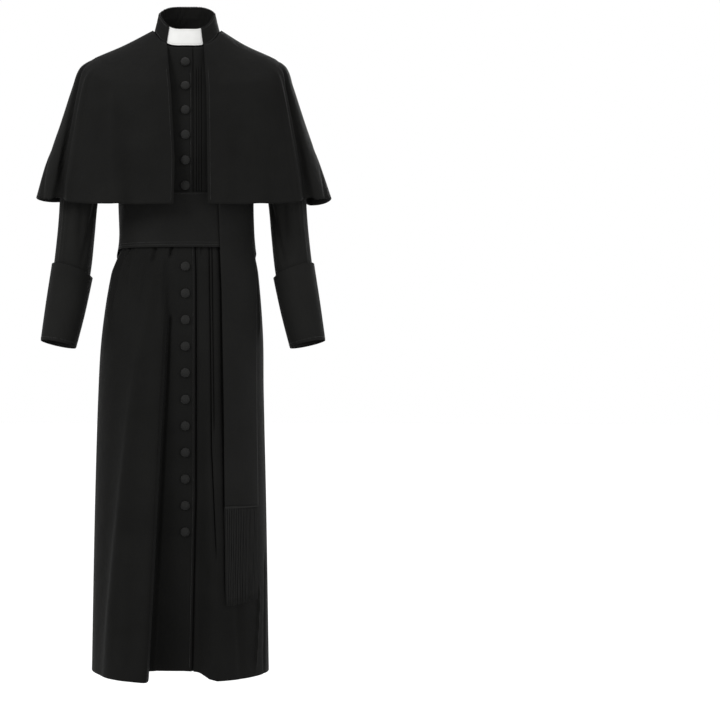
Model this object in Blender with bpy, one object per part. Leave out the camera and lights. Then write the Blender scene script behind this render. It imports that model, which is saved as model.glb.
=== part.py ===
"""Cassock with shoulder cape, sash and white collar tab, worn form with no wearer.

Metres, +Z up.  The front faces -Y and the wearer's left is +X.  The origin is where the
shoulders carry the garment: in the middle of the neck, at the height of the neck points.

Each cloth piece is a thin wall.  Its outer face follows a form, which is a stack of rings
given by a short table, and its inner face is the same form moved in by the wall.  A piece
that lies on another is the same form moved out.
"""

import math
from collections import namedtuple

import bmesh
import bpy
from mathutils import Vector

# ---------------------------------------------------------------- driving sizes (metres)
GAP = 0.0003                # between pieces that touch
SEAM = 0.0005               # between two cut edges
LAP_GAP = 0.0010            # between the two fronts where they lap
LAP_IN = 0.006              # the left front lies level under the lap to here inside its edge,
LAP_BESIDE = 0.002          # still lies low here beside the edge,
LAP_OUT = 0.010             # and is level with the right front from here on
BODY_WALL = 0.0015
SLEEVE_WALL = 0.0015
CAPE_WALL = 0.0018
CUFF_WALL = 0.0020
COLLAR_WALL = 0.0025
TAB_WALL = 0.0012
SASH_WALL = 0.0018
FRINGE_WALL = 0.0040

NECK_LEVEL = 0.003          # side height of the neck seam
SHOULDER_LEVEL = -0.066     # side height of the shoulder point
UNDERARM_LEVEL = -0.255
ARMHOLE_REACH = 34.0        # degrees the armhole cuts into front and back
PLEAT_HEAD = -0.505         # level of the underlay's upper edge
PLEAT_CLEAR = 0.0015        # the underlay clear of the back panels
PLEAT_DEPTH = 0.044         # how much deeper its middle lies inside at the hem
PLEAT_BOWL = (0.0, 0.85, 1.0, 0.85, 0.0)    # the share of that depth from edge to edge
PLEAT_FOOT = -1.346         # level of its hem, a little above the panels'
PLEAT_TUCK = 0.030          # how far it reaches under each back panel
RIDE_UP = 0.27              # how far cloth drawn in by a fold rides up, as a share
COLLAR_HEIGHT = 0.040
COLLAR_BACK_RISE = 0.0075   # the collar is higher at the back by this
COLLAR_LEAN = 0.0095        # how far the collar closes in towards its top edge
COLLAR_STAND = 0.0024       # the collar's outer face outside the neck seam
COLLAR_LIFT = 0.0012        # the collar's foot above the neck seam
TAB_RIGHT_X = -0.0375       # where the collar's two front ends show the tab between them
TAB_LEFT_X = 0.0400
TAB_UNDER = 6.0             # degrees the tab reaches inside each collar end

BUTTON_RADIUS = 0.0090
BUTTON_HEIGHT = 0.0055
BUTTON_CLEAR = 0.0009       # its flat back clear of the curved placket
BUTTON_X = 0.002
CHEST_BUTTONS = 6
CHEST_BUTTON_TOP = -0.0720
CHEST_BUTTON_PITCH = 0.0528
SKIRT_BUTTONS = 11
SKIRT_BUTTON_TOP = -0.5075
SKIRT_BUTTON_PITCH = 0.0558

SASH_WIDTH = 0.116
SASH_FRONT_FOOT = -0.466
SASH_BACK_FOOT = -0.506
SASH_TURN = 68.0            # degrees from the front where the sash starts to go lower
SASH_LEVEL = 138.0          # and where it is level again, behind
SASH_STAND_OFF = 0.0015     # clear of the panels under it
SASH_OVER_ANGLE = 15.0      # the over end's edge, from the middle of the back to the left
SASH_UNDER_ANGLE = 3.0      # the hidden under end
SASH_LIFT_FROM = -80.0      # the over part of the strip stands off from here towards its end
SASH_LIFT_RUN = 60.0        # and is off in full this many degrees on
TAIL_STAND_OFF = 0.0060
TAIL_TOP = -0.352
TAIL_END = -1.012
FRINGE_END = -1.218
FRINGE_IN = 0.0010          # the fringe lies this much nearer the skirt than the hanging end
FASTENER_HEIGHTS = (-0.410, -0.494)
FASTENER_SIZE = (0.0035, 0.0014, 0.0190)
FASTENER_CLEAR = 0.0030     # its middle outside the over end's inner face
FASTENER_PAST = 1.6         # degrees past the over end's edge

# ---------------------------------------------------------------- forms
# A ring: height at the side, half width, reach to front and back of the x axis, height of
# the front and of the back above the side, sideways shift, and how square the section is.
Ring = namedtuple("Ring", "level half_width front back front_rise back_rise centre square")

BODY = (
    Ring(0.003, 0.0680, 0.0620, 0.0660, -0.040, 0.016, 0.006, 2.0),
    Ring(-0.034, 0.1310, 0.0760, 0.0800, -0.048, 0.012, 0.001, 2.2),
    Ring(-0.066, 0.1930, 0.0900, 0.0920, -0.056, -0.010, -0.001, 2.4),
    Ring(-0.160, 0.1800, 0.1070, 0.1040, -0.020, -0.004, 0.000, 2.4),
    Ring(-0.255, 0.1540, 0.1170, 0.1100, 0.000, 0.000, 0.001, 2.3),
    Ring(-0.350, 0.1430, 0.1100, 0.1030, 0.000, 0.000, 0.004, 2.2),
    Ring(-0.430, 0.1425, 0.1060, 0.1000, 0.000, 0.000, 0.005, 2.2),
    Ring(-0.475, 0.1470, 0.1100, 0.1040, 0.000, 0.000, 0.005, 2.2),
    Ring(-0.520, 0.1590, 0.1180, 0.1140, 0.000, 0.000, 0.001, 2.2),
    Ring(-0.650, 0.1740, 0.1320, 0.1330, 0.000, 0.000, -0.004, 2.2),
    Ring(-0.770, 0.1785, 0.1400, 0.1440, 0.000, 0.000, -0.007, 2.2),
    Ring(-1.020, 0.1850, 0.1520, 0.1600, 0.000, 0.000, -0.008, 2.2),
    Ring(-1.370, 0.1910, 0.1640, 0.1770, -0.003, -0.004, -0.0085, 2.2),
)

CAPE = (
    Ring(0.0065, 0.0730, 0.0670, 0.0710, -0.040, 0.016, 0.006, 2.0),
    Ring(-0.026, 0.1310, 0.0880, 0.0920, -0.048, 0.012, 0.001, 2.1),
    Ring(-0.056, 0.1980, 0.1060, 0.1120, -0.054, -0.006, -0.001, 2.2),
    Ring(-0.074, 0.2230, 0.1140, 0.1200, -0.054, -0.012, -0.002, 2.3),
    Ring(-0.114, 0.2380, 0.1240, 0.1300, -0.050, -0.012, -0.003, 2.3),
    Ring(-0.204, 0.2675, 0.1360, 0.1420, -0.040, -0.004, -0.003, 2.3),
    Ring(-0.283, 0.2965, 0.1440, 0.1500, -0.032, 0.004, -0.003, 2.3),
    Ring(-0.353, 0.3185, 0.1500, 0.1560, -0.025, 0.012, -0.001, 2.3),
)

# A fold is a band, moved out by its depth, with soft sides.  Its place across the front or
# back and its depth are given at its top and at its foot.
Fold = namedtuple("Fold", "name side top foot x_top x_foot half_top half_foot "
                          "soft_left soft_right depth_top depth_foot")

BODY_FOLDS = (
    Fold("button side recess", "front", -0.470, -1.370, -0.004, -0.022, 0.023, 0.047,
         0.010, 0.045, -0.003, -0.052),
    Fold("right lobe", "front", -0.520, -1.370, -0.070, -0.122, 0.020, 0.034,
         0.035, 0.030, 0.002, 0.034),
    Fold("left lobe", "front", -0.600, -1.370, 0.075, 0.078, 0.030, 0.032,
         0.050, 0.040, 0.000, 0.008),
    Fold("back left rise", "back", -0.600, -1.370, 0.112, 0.116, 0.010, 0.012,
         0.030, 0.030, 0.002, 0.012),
    Fold("back right rise", "back", -0.600, -1.370, -0.100, -0.108, 0.010, 0.015,
         0.030, 0.030, 0.002, 0.012),
)

CAPE_FOLDS = (
    Fold("right arm valley", "front", -0.075, -0.353, -0.218, -0.264, 0.005, 0.007,
         0.014, 0.009, -0.003, -0.030),
    Fold("left arm valley", "front", -0.075, -0.353, 0.213, 0.260, 0.005, 0.007,
         0.009, 0.014, -0.003, -0.030),
    Fold("right chest fold", "front", -0.110, -0.353, -0.140, -0.150, 0.010, 0.016,
         0.030, 0.030, 0.001, 0.008),
    Fold("left chest fold", "front", -0.110, -0.353, 0.138, 0.145, 0.010, 0.016,
         0.030, 0.030, 0.001, 0.008),
    Fold("back left fold", "back", -0.060, -0.353, 0.050, 0.010, 0.008, 0.022,
         0.020, 0.030, 0.003, 0.014),
    Fold("back right fold", "back", -0.080, -0.353, -0.100, -0.090, 0.008, 0.022,
         0.030, 0.020, 0.003, 0.014),
    Fold("back right arm valley", "back", -0.080, -0.353, -0.200, -0.228, 0.008, 0.012,
         0.016, 0.020, -0.003, -0.014),
    Fold("back left arm valley", "back", -0.080, -0.353, 0.215, 0.250, 0.008, 0.012,
         0.020, 0.016, -0.003, -0.014),
)

Form = namedtuple("Form", "rings folds")
BODY_FORM = Form(BODY, BODY_FOLDS)
CAPE_FORM = Form(CAPE, CAPE_FOLDS)

# The cape hangs lower behind each arm: where round it, how far each way in degrees, how much
# at the hem.
Sag = namedtuple("Sag", "angle spread drop")
CAPE_SAGS = (Sag(122.0, 26.0, 0.016), Sag(238.0, 24.0, 0.009),
             Sag(171.0, 9.0, -0.019), Sag(196.0, 6.0, -0.017))

# Lines down the garment: a height and the place of a cut edge there.
EdgePoint = namedtuple("EdgePoint", "level x")
PLACKET_EDGE = (EdgePoint(0.003, 0.0175), EdgePoint(-0.340, 0.0180), EdgePoint(-0.520, 0.0230),
                EdgePoint(-1.000, 0.0225), EdgePoint(-1.370, 0.0150))
UNDER_EDGE = (EdgePoint(0.003, -0.0180), EdgePoint(-1.370, -0.0200))
CAPE_RIGHT_EDGE = (EdgePoint(0.0065, -0.0370), EdgePoint(-0.080, -0.0280),
                   EdgePoint(-0.250, -0.0200), EdgePoint(-0.353, -0.0225))
CAPE_LEFT_EDGE = (EdgePoint(0.0065, 0.0420), EdgePoint(-0.080, 0.0465),
                  EdgePoint(-0.353, 0.0490))
BACK_MIDDLE = (EdgePoint(0.003, 0.0060), EdgePoint(-0.300, -0.0060),
               EdgePoint(-0.475, -0.0140), EdgePoint(-1.370, -0.0180))
PLEAT_HALF = (EdgePoint(0.003, SEAM / 2), EdgePoint(-0.480, SEAM / 2),
              EdgePoint(-0.540, 0.0030), EdgePoint(-0.940, 0.0060), EdgePoint(-1.060, 0.0095),
              EdgePoint(-1.230, 0.0180), EdgePoint(-1.370, 0.0200))
TAIL_RIGHT_EDGE = (EdgePoint(-0.350, 0.0690), EdgePoint(-0.560, 0.0770),
                   EdgePoint(-1.218, 0.0850))
TAIL_LEFT_EDGE = (EdgePoint(-0.350, 0.1400), EdgePoint(-0.560, 0.1480),
                  EdgePoint(-1.218, 0.1510))

# Sleeve rings: outer and inner points of each ring, its half depth and its place in y.
SleeveRing = namedtuple("SleeveRing", "outer_x outer_z inner_x inner_z half_depth y")
SLEEVE = (
    SleeveRing(0.2120, -0.0850, 0.1610, -0.2600, 0.0650, 0.000),
    SleeveRing(0.2300, -0.1270, 0.1660, -0.2660, 0.0610, 0.001),
    SleeveRing(0.2440, -0.1870, 0.1700, -0.2770, 0.0560, 0.003),
    SleeveRing(0.2540, -0.2550, 0.1750, -0.3030, 0.0530, 0.005),
    SleeveRing(0.2652, -0.3550, 0.1853, -0.3720, 0.0500, 0.007),
    SleeveRing(0.2712, -0.4270, 0.1912, -0.4380, 0.0480, 0.005),
    SleeveRing(0.2785, -0.4950, 0.1990, -0.5120, 0.0460, 0.001),
    SleeveRing(0.2890, -0.5800, 0.2140, -0.5960, 0.0430, -0.006),
    SleeveRing(0.3020, -0.6590, 0.2345, -0.6735, 0.0380, -0.014),
)
CUFF = (
    SleeveRing(0.2834, -0.5010, 0.1950, -0.5270, 0.0515, 0.000),
    SleeveRing(0.2960, -0.5830, 0.2110, -0.6030, 0.0485, -0.007),
    SleeveRing(0.3067, -0.6620, 0.2300, -0.6780, 0.0430, -0.014),
)
WRIST_TILT = 0.12           # the front of a sleeve ring is higher than its back by this share
SLEEVE_SHIFT = -0.0028      # both sleeves hang a little towards the wearer's right

SHOULDER_ROWS = (-0.010, -0.024, -0.038, -0.052)
BODY_SKIRT_ROWS = (-0.300, -0.350, -0.390, -0.430, -0.455, -0.480, -0.505, -0.540, -0.590,
                   -0.670, -0.770, -0.890, -1.010, -1.130, -1.250, -1.370)
ARMHOLE_STEPS = 8
ARMHOLE_INSET = 0.985       # the sleeve's first ring against the panels' armhole
PANEL_COLUMNS = 8
SLEEVE_COLUMNS = 16
COLLAR_COLUMNS = 22
COLLAR_ROWS = 2
TAB_COLUMNS = 6
TAB_FOOT = 0.06             # the tab's foot and head as shares of the collar's height
TAB_HEAD = 0.96
CAPE_ROWS = (0.0065, -0.010, -0.026, -0.041, -0.056, -0.074, -0.094, -0.125, -0.165, -0.210,
             -0.260, -0.305, -0.353)
CAPE_FRONT_COLUMNS = 11
CAPE_BACK_COLUMNS = 28
SASH_COLUMNS = 42
SASH_ROWS = 3
TAIL_COLUMNS = 6
PLEAT_COLUMNS = 4
TAIL_ROWS = 16
FRINGE_ROWS = 3


# ---------------------------------------------------------------- reading the tables
def smooth(value):
    """A soft step from 0 to 1."""
    value = min(max(value, 0.0), 1.0)
    return value * value * (3.0 - 2.0 * value)


def read_row(rows, level):
    """The columns of a table at a level between its rows, on a smooth curve."""
    if level >= rows[0].level:
        return rows[0]
    if level <= rows[-1].level:
        return rows[-1]
    index = next(i for i in range(len(rows) - 1) if level >= rows[i + 1].level)
    upper, lower = rows[index], rows[index + 1]
    before = rows[max(index - 1, 0)]
    after = rows[min(index + 2, len(rows) - 1)]
    span = upper.level - lower.level
    t = (upper.level - level) / span
    values = []
    for a, b, c, d in zip(before, upper, lower, after):
        slope_in = 0.0
        slope_out = 0.0
        if before is not upper:
            slope_in = (c - a) / (before.level - lower.level) * span
        if after is not lower:
            slope_out = (d - b) / (upper.level - after.level) * span
        if before is upper:
            slope_in = c - b
        if after is lower:
            slope_out = c - b
        if (c - b) * slope_in <= 0.0 or (c - b) * slope_out <= 0.0:
            slope_in, slope_out = slope_in * 0.3, slope_out * 0.3
        values.append((2 * t**3 - 3 * t**2 + 1) * b + (t**3 - 2 * t**2 + t) * slope_in
                      + (-2 * t**3 + 3 * t**2) * c + (t**3 - t**2) * slope_out)
    row = type(upper)(*values)
    return row._replace(level=level)


def read_edge(points, level):
    """Where a cut edge lies at a level, straight between its points."""
    if level >= points[0].level:
        return points[0].x
    for upper, lower in zip(points, points[1:]):
        if level >= lower.level:
            share = (upper.level - level) / (upper.level - lower.level)
            return upper.x + (lower.x - upper.x) * share
    return points[-1].x


def fold_depth(folds, side, x, level):
    """How far the folds move the cloth out at a place."""
    total = 0.0
    for fold in folds:
        if fold.side != side or level > fold.top + 0.05:
            continue
        run = smooth((fold.top + 0.05 - level) / (fold.top + 0.05 - fold.foot))
        share = min(max((fold.top - level) / (fold.top - fold.foot), 0.0), 1.0)
        middle = fold.x_top + (fold.x_foot - fold.x_top) * share
        half = fold.half_top + (fold.half_foot - fold.half_top) * share
        depth = fold.depth_top + (fold.depth_foot - fold.depth_top) * share
        rise = smooth((x - (middle - half - fold.soft_left)) / fold.soft_left)
        fall = smooth(((middle + half + fold.soft_right) - x) / fold.soft_right)
        total += depth * rise * fall * smooth(run * 8.0)
    return total


# ---------------------------------------------------------------- points on a form
def angle_of(form, level, x, side="front"):
    """The angle round the form, from the front middle towards +X, of a place x across it."""
    ring = read_row(form.rings, level)
    ratio = min(max((x - ring.centre) / ring.half_width, -1.0), 1.0)
    angle = math.asin(abs(ratio) ** (ring.square / 2.0))
    angle = math.degrees(math.copysign(angle, ratio))
    return angle if side == "front" else 180.0 - angle


def bare_point(form, level, angle):
    """A point of a form's face: level is its height at the side."""
    ring = read_row(form.rings, level)
    sine = math.sin(math.radians(angle))
    cosine = math.cos(math.radians(angle))
    power = 2.0 / ring.square
    x = ring.centre + math.copysign(abs(sine) ** power, sine) * ring.half_width
    side = "front" if cosine >= 0.0 else "back"
    reach = ring.front if side == "front" else ring.back
    rise = ring.front_rise if side == "front" else ring.back_rise
    depth = fold_depth(form.folds, side, x, level)
    depth *= smooth(abs(cosine) / 0.25)
    y = (reach + depth) * abs(cosine) ** power
    z = level + rise * (1.0 - sine**4) + RIDE_UP * max(-depth, 0.0)
    return Vector((x, -y if side == "front" else y, z))


def form_point(form, level, angle, out=0.0):
    """A point of a form, moved out along its normal."""
    point = bare_point(form, level, angle)
    if out == 0.0:
        return point
    step = 0.004
    upper = min(level + step, form.rings[0].level)
    lower = max(level - step, form.rings[-1].level)
    across = bare_point(form, level, angle + 1.0) - bare_point(form, level, angle - 1.0)
    up = bare_point(form, upper, angle) - bare_point(form, lower, angle)
    return point + across.cross(up).normalized() * out


def level_at(form, height, x):
    """The level whose point at a place across the front has the wanted height."""
    low, high = form.rings[-1].level, form.rings[0].level
    for _ in range(40):
        middle = (low + high) / 2
        if bare_point(form, middle, angle_of(form, middle, x)).z < height:
            low = middle
        else:
            high = middle
    return low


def ring_point(ring, side, angle, out):
    """A point of a sleeve ring; side is 1 for the wearer's left and -1 for the right."""
    turn = math.radians(angle)
    outer = Vector((ring.outer_x, ring.y, ring.outer_z))
    inner = Vector((ring.inner_x, ring.y, ring.inner_z))
    middle = (outer + inner) / 2
    across = (outer - inner) / 2
    across *= 1.0 + out / across.length
    half = ring.half_depth + out
    forward = Vector((0.0, -half, half * WRIST_TILT))
    point = middle + across * math.sin(turn) + forward * math.cos(turn)
    point.x = point.x * side + SLEEVE_SHIFT
    return point


# ---------------------------------------------------------------- making walls
def material(name, colour, roughness, sheen=0.0):
    made = bpy.data.materials.new(name)
    made.use_nodes = True
    shader = made.node_tree.nodes["Principled BSDF"]
    shader.inputs["Base Color"].default_value = (*colour, 1.0)
    shader.inputs["Roughness"].default_value = roughness
    shader.inputs["Metallic"].default_value = 0.0
    shader.inputs["Sheen Weight"].default_value = sheen
    return made


def add_object(name, bm, finish, collection):
    mesh = bpy.data.meshes.new(name)
    bm.to_mesh(mesh)
    bm.free()
    mesh.materials.append(finish)
    piece = bpy.data.objects.new(name, mesh)
    collection.objects.link(piece)
    return piece


def make_wall(name, columns, rows, place, thickness, finish, collection, closed=False):
    """A cloth wall: a grid on the outer face, a copy on the inner face, and rims between.

    place(column, row, out) gives a point, with out 0 on the outer face; columns run
    towards +X in front and rows run upwards, so that the outer face points out.
    """
    bm = bmesh.new()
    bmesh.ops.create_grid(bm, x_segments=columns, y_segments=rows, size=0.5)
    where = {vert: (round((vert.co.x + 0.5) * columns), round((vert.co.y + 0.5) * rows))
             for vert in bm.verts}
    for vert, (column, row) in where.items():
        vert.co = place(column, row, 0.0)
    if closed:
        bmesh.ops.weld_verts(bm, targetmap={
            vert: other for vert, (column, row) in where.items() if column == columns
            for other, spot in where.items() if spot == (0, row)})
        where = {vert: spot for vert, spot in where.items() if vert.is_valid}
    copied = bmesh.ops.duplicate(bm, geom=bm.verts[:] + bm.edges[:] + bm.faces[:])
    inner_faces = [item for item in copied["geom"] if isinstance(item, bmesh.types.BMFace)]
    pairs = copied["vert_map"]
    for vert, spot in where.items():
        pairs[vert].co = place(*spot, -thickness)
    bmesh.ops.reverse_faces(bm, faces=inner_faces)
    rims = [edge for edge in bm.edges if edge.is_boundary]
    if closed:
        inner_where = {pairs[vert]: spot for vert, spot in where.items()}
        inner_where.update(where)
        for end_row in (0, rows):
            loop = [edge for edge in rims if inner_where[edge.verts[0]][1] == end_row]
            bmesh.ops.bridge_loops(bm, edges=loop)
    else:
        bmesh.ops.bridge_loops(bm, edges=rims)
    bmesh.ops.recalc_face_normals(bm, faces=bm.faces[:])
    if bm.calc_volume(signed=True) < 0.0:
        bmesh.ops.reverse_faces(bm, faces=bm.faces[:])
    return add_object(name, bm, finish, collection)


# ---------------------------------------------------------------- body panels
def armhole_share(step):
    """The share of the armhole's height at a step round it."""
    return (1.0 - math.cos(math.pi * step / ARMHOLE_STEPS)) / 2.0


def armhole_level(step):
    return SHOULDER_LEVEL + (UNDERARM_LEVEL - SHOULDER_LEVEL) * armhole_share(step)


def body_rows():
    """The levels of the panel's rows, from the hem up to the neck."""
    shoulder = (NECK_LEVEL,) + SHOULDER_ROWS
    armhole = tuple(armhole_level(step) for step in range(ARMHOLE_STEPS + 1))
    return tuple(reversed(shoulder + armhole + BODY_SKIRT_ROWS))


def side_angle(level):
    """The angle of a panel's side edge from the front middle: it dips in at the armhole."""
    if level > SHOULDER_LEVEL or level < UNDERARM_LEVEL:
        return 90.0
    share = (SHOULDER_LEVEL - level) / (SHOULDER_LEVEL - UNDERARM_LEVEL)
    return 90.0 - ARMHOLE_REACH * 2.0 * math.sqrt(max(share * (1.0 - share), 0.0))


def seam_angle(form, level, width=SEAM):
    """Half a seam's width as an angle at the side."""
    ring = read_row(form.rings, level)
    return math.degrees(width / (ring.front + ring.back))


def front_right_place(column, row, out):
    level = ROWS[row]
    seam = seam_angle(BODY_FORM, level)
    start = -side_angle(level) + seam
    end = angle_of(BODY_FORM, level, read_edge(PLACKET_EDGE, level))
    angle = start + (end - start) * column / PANEL_COLUMNS
    return form_point(BODY_FORM, level, angle, out)


def front_left_place(column, row, out):
    """The left front lies under the right front as far as the placket edge."""
    level = ROWS[row]
    edge = read_edge(PLACKET_EDGE, level)
    under = -BODY_WALL - LAP_GAP
    stops = (read_edge(UNDER_EDGE, level), edge - LAP_IN, edge + LAP_BESIDE, edge + LAP_OUT)
    layers = (under, under, under, 0.0)
    end = side_angle(level) - seam_angle(BODY_FORM, level)
    if column < len(stops):
        angle = angle_of(BODY_FORM, level, stops[column])
        return form_point(BODY_FORM, level, angle, out + layers[column])
    start = angle_of(BODY_FORM, level, stops[-1])
    steps = PANEL_COLUMNS + 1 - len(stops) + 1
    angle = start + (end - start) * (column - len(stops) + 1) / steps
    return form_point(BODY_FORM, level, angle, out)


FRONT_LEFT_COLUMNS = PANEL_COLUMNS + 1


def back_place(side):
    """A back panel between its side seam and the middle; side is 1 for the wearer's left."""
    def place(column, row, out):
        level = ROWS[row]
        edge = side_angle(level) - seam_angle(BODY_FORM, level)
        half = read_edge(PLEAT_HALF, level)
        middle = read_edge(BACK_MIDDLE, level) + side * half
        middle = angle_of(BODY_FORM, level, middle, "back")
        start, end = (180.0 - edge, middle) if side > 0 else (middle, 180.0 + edge)
        angle = start + (end - start) * column / PANEL_COLUMNS
        return form_point(BODY_FORM, level, angle, out)
    return place


def back_pleat_place(column, row, out):
    """The underlay inside the inverted pleat."""
    level = max(PLEAT_ROWS[row], PLEAT_FOOT)
    run = (PLEAT_ROWS[-1] - level) / (PLEAT_ROWS[-1] - PLEAT_ROWS[0])
    depth = -BODY_WALL - PLEAT_CLEAR - PLEAT_DEPTH * run**0.7 * PLEAT_BOWL[column]
    half = read_edge(PLEAT_HALF, level) + PLEAT_TUCK
    x = read_edge(BACK_MIDDLE, level) + half * (1.0 - 2.0 * column / PLEAT_COLUMNS)
    return form_point(BODY_FORM, level, angle_of(BODY_FORM, level, x, "back"), out + depth)


ROWS = body_rows()
PLEAT_ROWS = tuple(level for level in ROWS if level <= PLEAT_HEAD)


def make_body(cloth, collection):
    rows = len(ROWS) - 1
    make_wall("front_right", PANEL_COLUMNS, rows, front_right_place, BODY_WALL, cloth,
              collection)
    make_wall("front_left", FRONT_LEFT_COLUMNS, rows, front_left_place, BODY_WALL, cloth,
              collection)
    make_wall("back_left", PANEL_COLUMNS, rows, back_place(1), BODY_WALL, cloth, collection)
    make_wall("back_right", PANEL_COLUMNS, rows, back_place(-1), BODY_WALL, cloth, collection)
    make_wall("back_pleat", PLEAT_COLUMNS, len(PLEAT_ROWS) - 1, back_pleat_place, BODY_WALL, cloth,
              collection)


# ---------------------------------------------------------------- sleeves and cuffs
def sleeve_place(side):
    """A sleeve: its first ring lies in the armhole, just clear of the panels' cut edges."""
    def place(column, row, out):
        ring_index = len(SLEEVE) - row
        turn = 360.0 * column / SLEEVE_COLUMNS
        if ring_index == 0:
            share = (1.0 - math.sin(math.radians(turn)) * ARMHOLE_INSET) / 2.0
            level = SHOULDER_LEVEL + (UNDERARM_LEVEL - SHOULDER_LEVEL) * share
            reach = ARMHOLE_REACH * ARMHOLE_INSET * math.cos(math.radians(turn))
            return form_point(BODY_FORM, level, (90.0 - reach) * side, out)
        return ring_point(SLEEVE[ring_index - 1], side, turn, out)
    return place


def cuff_place(side):
    """A cuff stands round the sleeve's end."""
    def place(column, row, out):
        ring = CUFF[len(CUFF) - 1 - row]
        return ring_point(ring, side, 360.0 * column / SLEEVE_COLUMNS, out)
    return place


def mirrored(place, columns, side):
    """Runs the columns the other way on the wearer's right, so that faces still point out."""
    if side > 0:
        return place
    return lambda column, row, out: place((columns - column) % columns, row, out)


def make_sleeves(cloth, collection):
    for side, word in ((1, "left"), (-1, "right")):
        place = mirrored(sleeve_place(side), SLEEVE_COLUMNS, side)
        make_wall("sleeve_" + word, SLEEVE_COLUMNS, len(SLEEVE), place, SLEEVE_WALL, cloth,
                  collection, closed=True)
        place = mirrored(cuff_place(side), SLEEVE_COLUMNS, side)
        make_wall("cuff_" + word, SLEEVE_COLUMNS, len(CUFF) - 1, place, CUFF_WALL, cloth,
                  collection, closed=True)


# ---------------------------------------------------------------- collar and tab
def collar_point(angle, share, out):
    """A point of the collar: share runs up from its seam to its top edge."""
    base = bare_point(BODY_FORM, NECK_LEVEL, angle)
    centre = Vector((BODY[0].centre, (BODY[0].back - BODY[0].front) / 2, base.z))
    outward = (base - centre).normalized()
    point = base + outward * (COLLAR_STAND + out - COLLAR_LEAN * share)
    height = COLLAR_HEIGHT + COLLAR_BACK_RISE * max(-math.cos(math.radians(angle)), 0.0)
    point.z += COLLAR_LIFT + height * share
    return point


def make_collar(cloth, white, collection):
    right_end = angle_of(BODY_FORM, NECK_LEVEL, TAB_RIGHT_X)
    left_end = angle_of(BODY_FORM, NECK_LEVEL, TAB_LEFT_X)

    def collar_place(column, row, out):
        angle = left_end + (360.0 + right_end - left_end) * column / COLLAR_COLUMNS
        return collar_point(angle, row / COLLAR_ROWS, out)

    def tab_place(column, row, out):
        start, end = right_end - TAB_UNDER, left_end + TAB_UNDER
        angle = start + (end - start) * column / TAB_COLUMNS
        share = TAB_FOOT + (TAB_HEAD - TAB_FOOT) * row / COLLAR_ROWS
        return collar_point(angle, share, out - COLLAR_WALL - 2 * GAP)

    make_wall("collar_band", COLLAR_COLUMNS, COLLAR_ROWS, collar_place, COLLAR_WALL, cloth,
              collection)
    make_wall("collar_tab", TAB_COLUMNS, COLLAR_ROWS, tab_place, TAB_WALL, white, collection)


# ---------------------------------------------------------------- shoulder cape
def cape_level(row):
    return CAPE_ROWS[len(CAPE_ROWS) - 1 - row]


def cape_point(level, angle, out):
    """A point of the cape, sagging more and more towards its hem."""
    point = form_point(CAPE_FORM, level, angle, out)
    share = (level / CAPE[-1].level) ** 2 if level < 0.0 else 0.0
    for sag in CAPE_SAGS:
        point.z -= sag.drop * share * math.exp(-((angle % 360.0 - sag.angle) / sag.spread) ** 2)
    return point


def cape_front_place(side):
    edge_points = CAPE_LEFT_EDGE if side > 0 else CAPE_RIGHT_EDGE

    def place(column, row, out):
        level = cape_level(row)
        edge = angle_of(CAPE_FORM, level, read_edge(edge_points, level)) * side
        end = 90.0 - seam_angle(CAPE_FORM, level)
        share = column / CAPE_FRONT_COLUMNS
        if side < 0:
            share = 1.0 - share
        return cape_point(level, side * (edge + (end - edge) * share), out)
    return place


def cape_back_place(column, row, out):
    level = cape_level(row)
    seam = seam_angle(CAPE_FORM, level)
    angle = 90.0 + seam + (180.0 - 2 * seam) * column / CAPE_BACK_COLUMNS
    return cape_point(level, angle, out)


def make_cape(cloth, collection):
    rows = len(CAPE_ROWS) - 1
    for side, word in ((1, "left"), (-1, "right")):
        make_wall("cape_front_" + word, CAPE_FRONT_COLUMNS, rows, cape_front_place(side),
                  CAPE_WALL, cloth, collection)
    make_wall("cape_back", CAPE_BACK_COLUMNS, rows, cape_back_place, CAPE_WALL, cloth,
              collection)


# ---------------------------------------------------------------- sash
def sash_level(angle, share):
    """The level of the sash: it sits lower at the back; share runs up from its foot."""
    round_side = abs((angle + 180.0) % 360.0 - 180.0)
    back = smooth((round_side - SASH_TURN) / (SASH_LEVEL - SASH_TURN))
    return SASH_FRONT_FOOT + (SASH_BACK_FOOT - SASH_FRONT_FOOT) * back + SASH_WIDTH * share


def sash_place(column, row, out):
    """One strip: its over end at the back, the right side, the front, the left side, and
    its under end at the back."""
    start = -180.0 - SASH_OVER_ANGLE
    end = 180.0 - SASH_UNDER_ANGLE
    angle = start + (end - start) * column / SASH_COLUMNS
    lift = (SASH_WALL + LAP_GAP) * smooth((SASH_LIFT_FROM - angle) / SASH_LIFT_RUN)
    level = sash_level(angle, row / SASH_ROWS)
    return form_point(BODY_FORM, level, angle, out + SASH_STAND_OFF + SASH_WALL + lift)


def tail_place(foot, head, rows, wall, stand_off):
    def place(column, row, out):
        level = foot + (head - foot) * row / rows
        right = angle_of(BODY_FORM, level, read_edge(TAIL_RIGHT_EDGE, level))
        left = angle_of(BODY_FORM, level, read_edge(TAIL_LEFT_EDGE, level))
        angle = right + (left - right) * column / TAIL_COLUMNS
        return form_point(BODY_FORM, level, angle, out + stand_off + wall)
    return place


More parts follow.
